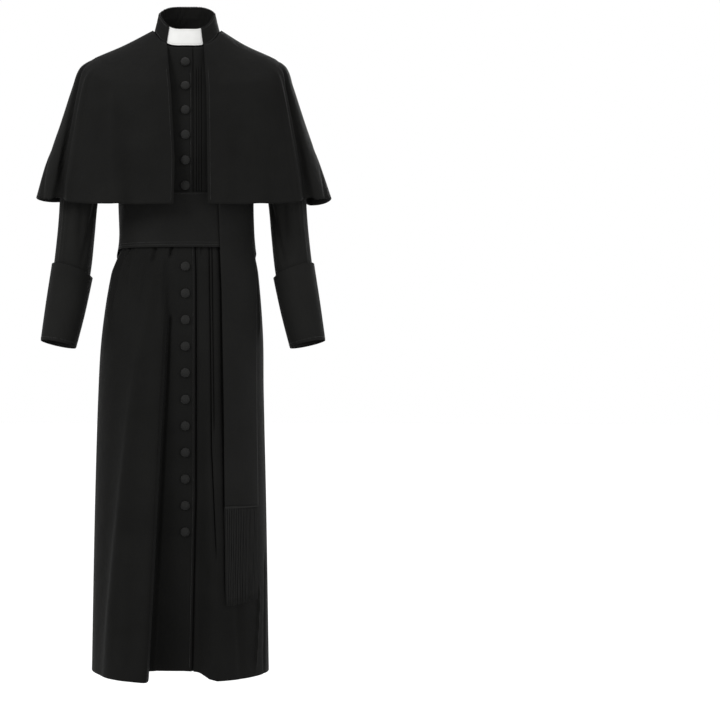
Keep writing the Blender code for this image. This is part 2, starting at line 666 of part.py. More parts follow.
def make_fastener(name, height, white, collection):
    """A small white bar on the edge of the over end."""
    bm = bmesh.new()
    bmesh.ops.create_cube(bm, size=1.0)
    bmesh.ops.scale(bm, vec=FASTENER_SIZE, verts=bm.verts)
    angle = 180.0 - SASH_OVER_ANGLE - FASTENER_PAST
    stand = SASH_STAND_OFF + 2 * SASH_WALL + FASTENER_CLEAR
    spot = form_point(BODY_FORM, height, angle, stand)
    face = form_point(BODY_FORM, height, angle, stand + 0.01) - spot
    turn = Vector((0.0, 1.0, 0.0)).rotation_difference(face)
    bmesh.ops.rotate(bm, matrix=turn.to_matrix(), verts=bm.verts)
    bmesh.ops.translate(bm, vec=spot, verts=bm.verts)
    return add_object(name, bm, white, collection)


def make_sash(cloth, white, collection):
    make_wall("sash_band", SASH_COLUMNS, SASH_ROWS, sash_place, SASH_WALL, cloth, collection)
    make_wall("sash_tail", TAIL_COLUMNS, TAIL_ROWS,
              tail_place(TAIL_END, TAIL_TOP, TAIL_ROWS, SASH_WALL, TAIL_STAND_OFF),
              SASH_WALL, cloth, collection)
    make_wall("sash_fringe", TAIL_COLUMNS, FRINGE_ROWS,
              tail_place(FRINGE_END, TAIL_END - SEAM, FRINGE_ROWS, FRINGE_WALL,
                         TAIL_STAND_OFF - FRINGE_IN),
              FRINGE_WALL, cloth, collection)
    for number, height in enumerate(FASTENER_HEIGHTS, start=1):
        make_fastener(f"sash_fastener_{number}", height, white, collection)


# ---------------------------------------------------------------- buttons
def make_button(name, height, cloth, collection):
    """A covered button: a dome with its flat back just clear of the placket."""
    bm = bmesh.new()
    bmesh.ops.create_uvsphere(bm, u_segments=12, v_segments=6, radius=BUTTON_RADIUS)
    bmesh.ops.bisect_plane(bm, geom=bm.verts[:] + bm.edges[:] + bm.faces[:],
                           plane_co=(0, 0, 0), plane_no=(0, 0, -1), clear_outer=True)
    bmesh.ops.scale(bm, vec=(1.0, 1.0, BUTTON_HEIGHT / BUTTON_RADIUS), verts=bm.verts)
    bmesh.ops.holes_fill(bm, edges=[edge for edge in bm.edges if edge.is_boundary])
    bmesh.ops.recalc_face_normals(bm, faces=bm.faces[:])
    level = level_at(BODY_FORM, height, BUTTON_X)
    angle = angle_of(BODY_FORM, level, BUTTON_X)
    spot = form_point(BODY_FORM, level, angle, BUTTON_CLEAR)
    face = form_point(BODY_FORM, level, angle, 0.01) - form_point(BODY_FORM, level, angle)
    turn = Vector((0.0, 0.0, 1.0)).rotation_difference(face)
    bmesh.ops.rotate(bm, matrix=turn.to_matrix(), verts=bm.verts)
    bmesh.ops.translate(bm, vec=spot, verts=bm.verts)
    return add_object(name, bm, cloth, collection)


def make_buttons(cloth, collection):
    heights = [CHEST_BUTTON_TOP - CHEST_BUTTON_PITCH * index for index in range(CHEST_BUTTONS)]
    heights += [SKIRT_BUTTON_TOP - SKIRT_BUTTON_PITCH * index for index in range(SKIRT_BUTTONS)]
    for number, height in enumerate(heights, start=1):
        make_button(f"button_{number:02d}", height, cloth, collection)


def build():
    for thing in list(bpy.data.objects):
        bpy.data.objects.remove(thing, do_unlink=True)
    cassock = bpy.data.collections.new("cassock")
    bpy.context.scene.collection.children.link(cassock)
    black = material("black cloth", (0.012, 0.012, 0.013), 0.75, 0.2)
    white = material("white tab", (0.86, 0.86, 0.84), 0.55)
    button_cloth = material("button cloth", (0.03, 0.03, 0.03), 0.6, 0.2)
    make_body(black, cassock)
    make_sleeves(black, cassock)
    make_collar(black, white, cassock)
    make_cape(black, cassock)
    make_sash(black, white, cassock)
    make_buttons(button_cloth, cassock)


build()
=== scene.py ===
"""Finishes the cassock: fine cloth on every panel, folds, seams, fringe, buttons, stage and camera.

Metres, +Z up.  The front faces -Y and the wearer's left is +X.
"""

import math
from collections import namedtuple

import bmesh
import bpy
import numpy as np
from bpy.props import FloatProperty, FloatVectorProperty, IntProperty, PointerProperty
from mathutils import Matrix, Vector


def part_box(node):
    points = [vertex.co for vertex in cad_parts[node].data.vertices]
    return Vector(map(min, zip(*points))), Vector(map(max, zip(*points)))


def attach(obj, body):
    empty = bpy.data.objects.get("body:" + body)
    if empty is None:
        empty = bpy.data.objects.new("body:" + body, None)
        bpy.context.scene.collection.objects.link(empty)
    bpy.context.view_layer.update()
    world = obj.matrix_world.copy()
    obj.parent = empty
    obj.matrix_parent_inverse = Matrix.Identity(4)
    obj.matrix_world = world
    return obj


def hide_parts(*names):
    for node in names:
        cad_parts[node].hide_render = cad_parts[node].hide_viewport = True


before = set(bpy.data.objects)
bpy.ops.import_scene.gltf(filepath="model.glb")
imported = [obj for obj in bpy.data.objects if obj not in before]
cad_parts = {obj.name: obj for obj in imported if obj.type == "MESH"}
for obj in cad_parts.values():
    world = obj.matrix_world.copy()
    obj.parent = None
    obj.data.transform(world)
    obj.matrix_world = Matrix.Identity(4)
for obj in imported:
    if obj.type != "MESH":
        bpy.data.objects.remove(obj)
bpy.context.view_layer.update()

bl_info = {
    "name": "Cassock with cape and sash",
    "version": (1, 0, 0),
    "blender": (4, 5, 0),
    "location": "View3D > Sidebar > Cassock",
    "description": "Makes the finished cloth, trimmings and stage of a worn cassock",
    "category": "Object",
}

# ---------------------------------------------------------------- forms, in metres
# A ring: height at the side, half width, reach to front and back of the x axis, height of
# the front and of the back above the side, sideways shift, and how square the section is.
Ring = namedtuple("Ring", "level half_width front back front_rise back_rise centre square")

BODY_RINGS = (
    Ring(0.003, 0.0680, 0.0620, 0.0660, -0.040, 0.016, 0.006, 2.0),
    Ring(-0.034, 0.1310, 0.0760, 0.0800, -0.048, 0.012, 0.001, 2.2),
    Ring(-0.066, 0.1930, 0.0900, 0.0920, -0.056, -0.010, -0.001, 2.4),
    Ring(-0.160, 0.1800, 0.1070, 0.1040, -0.020, -0.004, 0.000, 2.4),
    Ring(-0.255, 0.1540, 0.1170, 0.1100, 0.000, 0.000, 0.001, 2.3),
    Ring(-0.350, 0.1430, 0.1100, 0.1030, 0.000, 0.000, 0.004, 2.2),
    Ring(-0.430, 0.1425, 0.1060, 0.1000, 0.000, 0.000, 0.005, 2.2),
    Ring(-0.475, 0.1470, 0.1100, 0.1040, 0.000, 0.000, 0.005, 2.2),
    Ring(-0.520, 0.1590, 0.1180, 0.1140, 0.000, 0.000, 0.001, 2.2),
    Ring(-0.650, 0.1740, 0.1320, 0.1330, 0.000, 0.000, -0.004, 2.2),
    Ring(-0.770, 0.1785, 0.1400, 0.1440, 0.000, 0.000, -0.007, 2.2),
    Ring(-1.020, 0.1850, 0.1520, 0.1600, 0.000, 0.000, -0.008, 2.2),
    Ring(-1.370, 0.1910, 0.1640, 0.1770, -0.003, -0.004, -0.0085, 2.2),
)
CAPE_RINGS = (
    Ring(0.0065, 0.0730, 0.0670, 0.0710, -0.040, 0.016, 0.006, 2.0),
    Ring(-0.026, 0.1310, 0.0880, 0.0920, -0.048, 0.012, 0.001, 2.1),
    Ring(-0.056, 0.1980, 0.1060, 0.1120, -0.054, -0.006, -0.001, 2.2),
    Ring(-0.074, 0.2230, 0.1140, 0.1200, -0.054, -0.012, -0.002, 2.3),
    Ring(-0.114, 0.2380, 0.1240, 0.1300, -0.050, -0.012, -0.003, 2.3),
    Ring(-0.204, 0.2675, 0.1360, 0.1420, -0.040, -0.004, -0.003, 2.3),
    Ring(-0.283, 0.2965, 0.1440, 0.1500, -0.032, 0.004, -0.003, 2.3),
    Ring(-0.353, 0.3185, 0.1500, 0.1560, -0.025, 0.012, -0.001, 2.3),
)

# A fold is a band, moved out by its depth, with soft sides.
Fold = namedtuple("Fold", "name side top foot x_top x_foot half_top half_foot "
                          "soft_left soft_right depth_top depth_foot")
BODY_FOLDS = (
    Fold("button side recess", "front", -0.470, -1.370, -0.004, -0.022, 0.023, 0.047,
         0.010, 0.045, -0.003, -0.052),
    Fold("right lobe", "front", -0.520, -1.370, -0.070, -0.122, 0.020, 0.034,
         0.035, 0.030, 0.002, 0.034),
    Fold("left lobe", "front", -0.600, -1.370, 0.075, 0.078, 0.030, 0.032,
         0.050, 0.040, 0.000, 0.008),
    Fold("back left rise", "back", -0.600, -1.370, 0.112, 0.116, 0.010, 0.012,
         0.030, 0.030, 0.002, 0.012),
    Fold("back right rise", "back", -0.600, -1.370, -0.100, -0.108, 0.010, 0.015,
         0.030, 0.030, 0.002, 0.012),
)
CAPE_FOLDS = (
    Fold("right arm valley", "front", -0.075, -0.353, -0.218, -0.264, 0.005, 0.007,
         0.014, 0.009, -0.003, -0.030),
    Fold("left arm valley", "front", -0.075, -0.353, 0.213, 0.260, 0.005, 0.007,
         0.009, 0.014, -0.003, -0.030),
    Fold("right chest fold", "front", -0.110, -0.353, -0.140, -0.150, 0.010, 0.016,
         0.030, 0.030, 0.001, 0.008),
    Fold("left chest fold", "front", -0.110, -0.353, 0.138, 0.145, 0.010, 0.016,
         0.030, 0.030, 0.001, 0.008),
    Fold("back left fold", "back", -0.060, -0.353, 0.050, 0.010, 0.008, 0.022,
         0.020, 0.030, 0.003, 0.014),
    Fold("back right fold", "back", -0.080, -0.353, -0.100, -0.090, 0.008, 0.022,
         0.030, 0.020, 0.003, 0.014),
    Fold("back right arm valley", "back", -0.080, -0.353, -0.200, -0.228, 0.008, 0.012,
         0.016, 0.020, -0.003, -0.014),
    Fold("back left arm valley", "back", -0.080, -0.353, 0.215, 0.250, 0.008, 0.012,
         0.020, 0.016, -0.003, -0.014),
)

# A crease runs from one place to another on the front or back, as deep as it says (negative
# for a trough), soft on its own side and steeper on the other where edge is under 1.
Crease = namedtuple("Crease", "side x0 z0 x1 z1 width depth edge")
BODY_CREASES = (
    # gathers under the sash, front
    Crease("front", -0.116, -0.448, -0.122, -0.482, 0.0034, -0.0060, 0.6),
    Crease("front", -0.104, -0.466, -0.118, -0.560, 0.0080, 0.0040, 0.5),
    Crease("front", -0.062, -0.448, -0.068, -0.494, 0.0038, -0.0085, 0.6),
    Crease("front", -0.084, -0.486, -0.098, -0.580, 0.0070, 0.0050, 0.6),
    Crease("front", -0.027, -0.448, -0.031, -0.486, 0.0034, -0.0070, 0.6),
    Crease("front", -0.044, -0.486, -0.049, -0.620, 0.0070, 0.0056, 0.6),
    Crease("front", 0.034, -0.448, 0.036, -0.482, 0.0030, -0.0030, 0.6),
    # long soft folds, front
    Crease("front", -0.062, -0.520, -0.164, -1.330, 0.0150, 0.0058, 0.8),
    Crease("front", -0.096, -0.900, -0.112, -1.370, 0.0200, -0.0050, 0.8),
    Crease("front", 0.060, -0.800, 0.070, -1.370, 0.0220, 0.0030, 0.8),
    Crease("front", 0.112, -1.200, 0.120, -1.370, 0.0120, -0.0040, 0.8),
    Crease("front", 0.158, -1.190, 0.150, -1.350, 0.0040, 0.0045, 0.5),
    Crease("front", 0.172, -1.120, 0.170, -1.370, 0.0070, -0.0040, 0.7),
    # hips
    Crease("front", -0.136, -0.480, -0.160, -0.620, 0.0045, 0.0058, 0.6),
    Crease("front", -0.129, -0.474, -0.155, -0.620, 0.0040, -0.0040, 0.6),
    Crease("front", -0.120, -0.482, -0.150, -0.600, 0.0045, 0.0050, 0.6),
    Crease("front", 0.146, -0.475, 0.160, -0.640, 0.0050, 0.0036, 0.5),
    # back
    Crease("back", 0.118, -0.640, 0.114, -1.340, 0.0150, 0.0060, 0.9),
    Crease("back", 0.070, -0.520, 0.064, -1.360, 0.0260, -0.0060, 0.8),
    Crease("back", 0.090, -0.515, 0.098, -0.650, 0.0080, 0.0030, 0.6),
    Crease("back", 0.035, -0.515, 0.040, -0.640, 0.0080, 0.0026, 0.6),
    Crease("back", -0.060, -0.510, -0.066, -0.660, 0.0080, 0.0028, 0.6),
    Crease("back", -0.100, -0.505, -0.112, -0.680, 0.0080, 0.0030, 0.5),
    Crease("back", -0.074, -0.700, -0.086, -1.360, 0.0260, -0.0050, 0.8),
    Crease("back", -0.126, -0.490, -0.164, -0.600, 0.0050, 0.0070, 0.6),
    Crease("back", -0.118, -0.490, -0.154, -0.610, 0.0050, -0.0070, 0.6),
    Crease("back", -0.146, -0.700, -0.150, -1.350, 0.0180, -0.0030, 0.9),
    Crease("back", 0.144, -0.520, 0.160, -0.700, 0.0080, 0.0040, 0.5),
)
CAPE_CREASES = (
    Crease("front", -0.150, -0.100, -0.132, -0.373, 0.0150, 0.0050, 0.6),
    Crease("front", -0.118, -0.160, -0.106, -0.373, 0.0180, -0.0040, 0.8),
    Crease("front", 0.140, -0.110, 0.150, -0.373, 0.0180, 0.0040, 0.8),
    Crease("front", 0.112, -0.180, 0.118, -0.373, 0.0180, -0.0040, 0.8),
    Crease("front", -0.288, -0.230, -0.300, -0.365, 0.0100, -0.0040, 0.8),
    Crease("front", 0.284, -0.220, 0.300, -0.365, 0.0100, -0.0040, 0.8),
    Crease("front", -0.206, -0.080, -0.245, -0.350, 0.0065, 0.0060, 1.0),
    Crease("front", 0.202, -0.085, 0.241, -0.350, 0.0065, 0.0060, 1.0),
    Crease("front", -0.222, -0.078, -0.262, -0.350, 0.0075, -0.0100, 0.7),
    Crease("front", 0.216, -0.085, 0.257, -0.350, 0.0075, -0.0100, 0.7),
    Crease("back", 0.048, -0.060, -0.006, -0.350, 0.0080, 0.0110, 0.8),
    Crease("back", 0.034, -0.075, -0.024, -0.350, 0.0090, -0.0070, 0.8),
    Crease("back", -0.108, -0.085, -0.133, -0.350, 0.0075, 0.0100, 0.8),
    Crease("back", -0.095, -0.110, -0.116, -0.345, 0.0070, -0.0060, 0.8),
    Crease("back", -0.094, -0.230, -0.074, -0.350, 0.0070, 0.0090, 0.6),
    Crease("back", -0.198, -0.095, -0.224, -0.355, 0.0110, -0.0130, 0.6),
    Crease("back", 0.229, -0.110, 0.268, -0.352, 0.0080, -0.0100, 0.6),
    Crease("back", 0.100, -0.150, 0.112, -0.365, 0.0240, -0.0060, 0.8),
    Crease("back", 0.160, -0.120, 0.185, -0.373, 0.0220, 0.0060, 0.8),
    Crease("back", -0.160, -0.150, -0.176, -0.365, 0.0180, 0.0060, 0.8),
)

# The cape hangs lower behind each arm and its hem lifts in two waves at the back: where
# round it, how far each way, how much at the hem.
Sag = namedtuple("Sag", "angle spread drop")
CAPE_SAGS = (Sag(122.0, 26.0, 0.016), Sag(238.0, 24.0, 0.009),
             Sag(171.0, 9.0, -0.019), Sag(196.0, 6.0, -0.017))

# Lines down the garment: a height and a place across.
EdgePoint = namedtuple("EdgePoint", "level x")
PLACKET_EDGE = (EdgePoint(0.003, 0.0175), EdgePoint(-0.340, 0.0180), EdgePoint(-0.520, 0.0230),
                EdgePoint(-1.000, 0.0225), EdgePoint(-1.370, 0.0150))
UNDER_EDGE = (EdgePoint(0.003, -0.0180), EdgePoint(-1.370, -0.0200))
DEEP_FOLD = (EdgePoint(0.003, -0.0300), EdgePoint(-0.470, -0.0300), EdgePoint(-0.790, -0.0450),
             EdgePoint(-1.100, -0.0600), EdgePoint(-1.370, -0.0740))
PLEAT_LINE = (EdgePoint(0.003, 0.0500), EdgePoint(-0.340, 0.0500), EdgePoint(-0.470, 0.0530),
              EdgePoint(-0.890, 0.0570), EdgePoint(-1.140, 0.0680), EdgePoint(-1.370, 0.0700))
CAPE_RIGHT_EDGE = (EdgePoint(0.0065, -0.0370), EdgePoint(-0.080, -0.0280),
                   EdgePoint(-0.250, -0.0200), EdgePoint(-0.353, -0.0225))
CAPE_LEFT_EDGE = (EdgePoint(0.0065, 0.0420), EdgePoint(-0.080, 0.0465),
                  EdgePoint(-0.353, 0.0490))
BACK_MIDDLE = (EdgePoint(0.003, 0.0060), EdgePoint(-0.300, -0.0060),
               EdgePoint(-0.475, -0.0140), EdgePoint(-1.370, -0.0180))
PLEAT_HALF = (EdgePoint(0.003, 0.0003), EdgePoint(-0.480, 0.0003), EdgePoint(-0.540, 0.0030),
              EdgePoint(-0.940, 0.0060), EdgePoint(-1.060, 0.0095), EdgePoint(-1.230, 0.0180),
              EdgePoint(-1.370, 0.0200))
TAIL_RIGHT_EDGE = (EdgePoint(-0.350, 0.0690), EdgePoint(-0.560, 0.0770),
                   EdgePoint(-1.218, 0.0850))
TAIL_LEFT_EDGE = (EdgePoint(-0.350, 0.1400), EdgePoint(-0.560, 0.1480),
                  EdgePoint(-1.218, 0.1510))

# A groove follows an edge: how wide to its left and right, and how deep at top and foot.
Groove = namedtuple("Groove", "side edge offset top foot left right depth_top depth_foot")
BODY_GROOVES = (
    Groove("front", PLACKET_EDGE, -0.0060, -0.040, -1.370, 0.0008, 0.0008, 0.0008, 0.0008),
    Groove("front", PLACKET_EDGE, 0.0084, -0.040, -0.460, 0.0010, 0.0006, 0.0022, 0.0022),
    Groove("front", PLACKET_EDGE, 0.0139, -0.040, -0.460, 0.0010, 0.0006, 0.0016, 0.0016),
    Groove("front", PLACKET_EDGE, 0.0197, -0.040, -0.460, 0.0010, 0.0006, 0.0016, 0.0016),
    Groove("front", PLACKET_EDGE, 0.0063, -0.465, -1.100, 0.0008, 0.0006, 0.0015, 0.0010),
    Groove("front", PLEAT_LINE, 0.0000, -0.465, -1.140, 0.0014, 0.0010, 0.0050, 0.0080),
    Groove("front", PLEAT_LINE, 0.0060, -0.465, -0.890, 0.0012, 0.0008, 0.0045, 0.0045),
    Groove("front", DEEP_FOLD, 0.0055, -0.620, -1.370, 0.0032, 0.0042, 0.0060, 0.0120),
    Groove("front", TAIL_RIGHT_EDGE, 0.0010, -0.465, -1.215, 0.0020, 0.0060, 0.0030, 0.0045),
    Groove("back", BACK_MIDDLE, -0.0190, -0.300, -0.400, 0.0016, 0.0010, 0.0030, 0.0030),
    Groove("back", BACK_MIDDLE, 0.0080, -0.300, -0.400, 0.0016, 0.0010, 0.0030, 0.0030),
)

SleeveRing = namedtuple("SleeveRing", "outer_x outer_z inner_x inner_z half_depth y")
SLEEVE_RINGS = (
    SleeveRing(0.2120, -0.0850, 0.1610, -0.2600, 0.0650, 0.000),
    SleeveRing(0.2300, -0.1270, 0.1660, -0.2660, 0.0610, 0.001),
    SleeveRing(0.2440, -0.1870, 0.1700, -0.2770, 0.0560, 0.003),
    SleeveRing(0.2540, -0.2550, 0.1750, -0.3030, 0.0530, 0.005),
    SleeveRing(0.2652, -0.3550, 0.1853, -0.3720, 0.0500, 0.007),
    SleeveRing(0.2712, -0.4270, 0.1912, -0.4380, 0.0480, 0.005),
    SleeveRing(0.2785, -0.4950, 0.1990, -0.5120, 0.0460, 0.001),
    SleeveRing(0.2890, -0.5800, 0.2140, -0.5960, 0.0430, -0.006),
    SleeveRing(0.3020, -0.6590, 0.2345, -0.6735, 0.0380, -0.014),
)
CUFF_RINGS = (
    SleeveRing(0.2834, -0.5010, 0.1950, -0.5270, 0.0515, 0.000),
    SleeveRing(0.2960, -0.5830, 0.2110, -0.6030, 0.0485, -0.007),
    SleeveRing(0.3067, -0.6620, 0.2300, -0.6780, 0.0430, -0.014),
)
WRIST_TILT = 0.12
RIDE_UP = 0.27              # how far cloth drawn in by a fold rides up, as a share

NECK_LEVEL = 0.003
SHOULDER_LEVEL = -0.066
UNDERARM_LEVEL = -0.255
HEM_LEVEL = -1.370
ARMHOLE_REACH = 34.0
ARMHOLE_INSET = 0.985
COLLAR_HEIGHT = 0.040
COLLAR_LEAN = 0.0095
COLLAR_STAND = 0.0024
COLLAR_LIFT = 0.0012
COLLAR_BACK_RISE = 0.0075
TAB_RIGHT_X = -0.0375
TAB_LEFT_X = 0.0400
TAB_UNDER = 6.0
SLEEVE_SHIFT = -0.0028
BUTTON_X = 0.002
BUTTON_COUNT = 17
BUTTON_STAND = 0.0036
SASH_FRONT_FOOT = -0.466
SASH_BACK_FOOT = -0.506
SASH_TURN = 68.0
SASH_LEVEL = 138.0
SASH_WIDTH = 0.116
SASH_STAND = 0.0033         # the strip's outer face off the panels
SASH_OVER_STAND = 0.0028    # how much more the over end stands off
SASH_OVER_FROM = -80.0      # where it starts to, in degrees from the front
SASH_OVER_RUN = 60.0
SASH_OVER_EDGE = 15.0       # the over end's edge, from the middle of the back
SASH_ENDS = (-195.0, 177.0)
TAIL_FOOT = -1.012
TAIL_HEAD = -0.352
TAIL_STAND = 0.0076
FRINGE_HEAD = -1.010
FRINGE_FOOT = -1.216
FRINGE_LOWEST = -1.217
FRINGE_REACH = 0.21
FRINGE_STAND = 0.0068
STRAND_RADIUS = 0.00080
BINDING_LEVELS = (-1.0145, -1.0130, -1.0112)    # the strip that holds the fringe
BINDING_STAND = 0.0082
FASTENER_HEIGHTS = (-0.410, -0.494)
FASTENER_SIZE = (0.0025, 0.0013, 0.0186)
FASTENER_PAST = 1.6         # degrees past the over end's edge
PLEAT_DEPTH = 0.044
PLEAT_TUCK = 0.030
PLEAT_FOOT = -1.346
PLEAT_HEAD = -0.500
PLEAT_CLEAR = 0.0032
PLEAT_EASE = 0.7            # how fast the underlay deepens going down
PLEAT_ROUND = 2.7           # how flat the bottom of its bowl is
SEAM_TURNING = 1.1          # how far a back panel's side turning lies under the front, degrees
TURNING_DROP = 0.0024       # how far inside the front panel it lies
COLLAR_WALL = 0.0022
TAB_WALL = 0.0010
CUFF_WALL = 0.0018
CAPE_WALL = 0.0014
SASH_WALL = 0.0014
CAPE_EDGE_LEVELS = (-0.353, -0.094, -0.056, 0.0065)     # hem, chest, shoulder and seam
CAPE_FOLD_LEVEL = -0.08     # the front folds spread from here going down
LAP = 0.0022                # from one cloth face to the next where two panels lap


# ---------------------------------------------------------------- settings
class ClothSettings(bpy.types.PropertyGroup):
    wall: FloatProperty(name="Cloth thickness", default=0.0012, min=0.0005, max=0.003,
                        unit="LENGTH", description="Thickness of the garment's cloth")
    row_step: FloatProperty(name="Row spacing", default=0.0055, min=0.002, max=0.03,
                            unit="LENGTH", description="Height of one row of the panels' grid")
    thread: FloatProperty(name="Weave pitch", default=0.0009, min=0.0002, max=0.005,
                          unit="LENGTH", description="Distance between the weave's ridges")
    colour: FloatVectorProperty(name="Cloth colour", subtype="COLOR", size=3, min=0, max=1,
                                default=(0.0062, 0.0062, 0.0059),
                                description="Colour of the black suiting")
    sash_colour: FloatVectorProperty(name="Sash colour", subtype="COLOR", size=3, min=0, max=1,
                                     default=(0.0066, 0.0066, 0.0063),
                                     description="Colour of the sash")
    tab_colour: FloatVectorProperty(name="Tab colour", subtype="COLOR", size=3, min=0, max=1,
                                    default=(0.50, 0.50, 0.49),
                                    description="Colour of the collar tab")


class TrimSettings(bpy.types.PropertyGroup):
    button_radius: FloatProperty(name="Button radius", default=0.0094, unit="LENGTH",
                                 description="Radius of a covered button")
    button_height: FloatProperty(name="Button height", default=0.0046, unit="LENGTH",
                                 description="Height of a covered button's dome")
    stitch: FloatProperty(name="Stitch length", default=0.0026, unit="LENGTH",
                          description="Length of one topstitch")
    fringe_strands: IntProperty(name="Fringe strands", default=64, min=10, max=200,
                                description="How many twisted strands hang from the sash")


class StageSettings(bpy.types.PropertyGroup):
    camera_distance: FloatProperty(name="Camera distance", default=4.4, unit="LENGTH",
                                   description="From the camera to the garment's middle plane")
    picture_width: FloatProperty(name="Picture width", default=1.5552, unit="LENGTH",
                                 description="Width of what the camera sees at that plane")
    camera_height: FloatProperty(name="Camera height", default=-0.704, unit="LENGTH",
                                 description="Height of the camera")
    shift: FloatProperty(name="Sideways shift", default=0.244,
                         description="Keeps the garment in the left half of the picture")


# ---------------------------------------------------------------- reading forms
def soft_step(value):
    value = np.clip(value, 0.0, 1.0)
    return value * value * (3.0 - 2.0 * value)


def edge_x(points, levels):
    """Where a line down the garment lies at each level."""
    heights = [point.level for point in reversed(points)]
    places = [point.x for point in reversed(points)]
    return np.interp(levels, heights, places)


class Form:
    """A stack of rings round the body, with its folds and creases."""

    def __init__(self, rings, folds, creases, grooves=(), sags=()):
        self.table = np.array(rings, dtype=float)
        self.folds = folds
        self.creases = creases
        self.grooves = grooves
        self.sags = sags

    def ring(self, levels):
        """The rings' values at each level, on a smooth curve through the table."""
        table = self.table
        count = len(table)
        levels = np.clip(levels, table[-1, 0], table[0, 0])
        index = np.clip(np.searchsorted(-table[:, 0], -levels, side="right") - 1, 0, count - 2)
        upper, lower = table[index], table[index + 1]
        before, after = table[np.maximum(index - 1, 0)], table[np.minimum(index + 2, count - 1)]
        span = upper[:, :1] - lower[:, :1]
        t = (upper[:, :1] - levels[:, None]) / span
        slope_in = (lower - before) / (before[:, :1] - lower[:, :1]) * span
        slope_out = (after - upper) / (upper[:, :1] - after[:, :1]) * span
        turning = ((lower - upper) * slope_in <= 0) | ((lower - upper) * slope_out <= 0)
        slope_in, slope_out = (np.where(turning, slope * 0.3, slope)
                               for slope in (slope_in, slope_out))
        values = ((2 * t**3 - 3 * t**2 + 1) * upper + (t**3 - 2 * t**2 + t) * slope_in
                  + (-2 * t**3 + 3 * t**2) * lower + (t**3 - t**2) * slope_out)
        return values.T

    def angle(self, levels, x, side="front"):
        """The angle from the front middle towards +X of places x across the form."""
        levels = np.atleast_1d(np.asarray(levels, dtype=float))
        _, half_width, _, _, _, _, centre, square = self.ring(levels)
        ratio = np.clip((x - centre) / half_width, -1.0, 1.0)
        angle = np.degrees(np.arcsin(np.abs(ratio) ** (square / 2.0))) * np.sign(ratio)
        return angle if side == "front" else 180.0 - angle

    def fold_depth(self, side, x, levels):
        total = np.zeros_like(x)
        for fold in self.folds:
            if fold.side != side:
                continue
            reach = fold.top + 0.05
            run = soft_step((reach - levels) / (reach - fold.foot))
            share = np.clip((fold.top - levels) / (fold.top - fold.foot), 0.0, 1.0)
            middle = fold.x_top + (fold.x_foot - fold.x_top) * share
            half = fold.half_top + (fold.half_foot - fold.half_top) * share
            depth = fold.depth_top + (fold.depth_foot - fold.depth_top) * share
            rise = soft_step((x - (middle - half - fold.soft_left)) / fold.soft_left)
            fall = soft_step(((middle + half + fold.soft_right) - x) / fold.soft_right)
            total += depth * rise * fall * soft_step(run * 8.0)
        return total

    def crease_depth(self, levels, angles):
        """Creases are measured along the cloth: across by the angle, down by the level."""
        _, half_width, front, back, _, _, _, _ = self.ring(levels)
        radius = (half_width * 2 + front + back) / 4
        total = np.zeros_like(levels)
        for crease in self.creases:
            start = self.angle(crease.z0, crease.x0, crease.side)[0]
            end = self.angle(crease.z1, crease.x1, crease.side)[0]
            share = (crease.z0 - levels) / (crease.z0 - crease.z1)
            middle = start + (end - start) * share
            away = (angles - middle + 180.0) % 360.0 - 180.0
            away = np.radians(away) * radius
            width = np.where(away > 0, crease.width, crease.width * crease.edge)
            taper = soft_step((share + 0.12) / 0.25) * soft_step((1.15 - share) / 0.3)
            total += crease.depth * np.exp(-(away / width) ** 2) * taper
        return total

    def groove_depth(self, levels, x, cosine):
        total = np.zeros_like(levels)
        for groove in self.grooves:
            away = x - edge_x(groove.edge, levels) - groove.offset
            width = np.where(away > 0, groove.right, groove.left)
            share = np.clip((groove.top - levels) / (groove.top - groove.foot), 0.0, 1.0)
            depth = groove.depth_top + (groove.depth_foot - groove.depth_top) * share
            inside = soft_step((groove.top + 0.01 - levels) / 0.01)
            if groove.foot > HEM_LEVEL:
                inside = inside * soft_step((levels - groove.foot) / 0.08)
            inside = inside * ((cosine > 0) == (groove.side == "front"))
            total -= depth * np.exp(-np.abs(away / width) ** 2.5) * inside
        return total

    def bare(self, levels, angles):
        _, half_width, front, back, front_rise, back_rise, centre, square = self.ring(levels)
        sine, cosine = np.sin(np.radians(angles)), np.cos(np.radians(angles))
        power = 2.0 / square
        x = centre + np.sign(sine) * np.abs(sine) ** power * half_width
        in_front = cosine >= 0.0
        reach = np.where(in_front, front, back)
        rise = np.where(in_front, front_rise, back_rise)
        depth = np.where(in_front, self.fold_depth("front", x, levels),
                         self.fold_depth("back", x, levels))
        depth *= soft_step(np.abs(cosine) / 0.25)
        y = (reach + depth) * np.abs(cosine) ** power * np.where(in_front, -1.0, 1.0)
        z = levels + rise * (1.0 - sine**4) + RIDE_UP * np.maximum(-depth, 0.0)
        share = np.where(levels < 0.0, (levels / self.table[-1, 0]) ** 2, 0.0)
        for sag in self.sags:
            z -= sag.drop * share * np.exp(-((angles % 360.0 - sag.angle) / sag.spread) ** 2)
        return np.stack((x, y, z), axis=-1)

    def level_at(self, height, x):
        """The level whose point at a place across the front has the wanted height."""
        levels = np.linspace(self.table[-1, 0], self.table[0, 0], 4000)
        heights = self.bare(levels, self.angle(levels, x))[:, 2]
        return levels[np.argmin(np.abs(heights - height))][None]

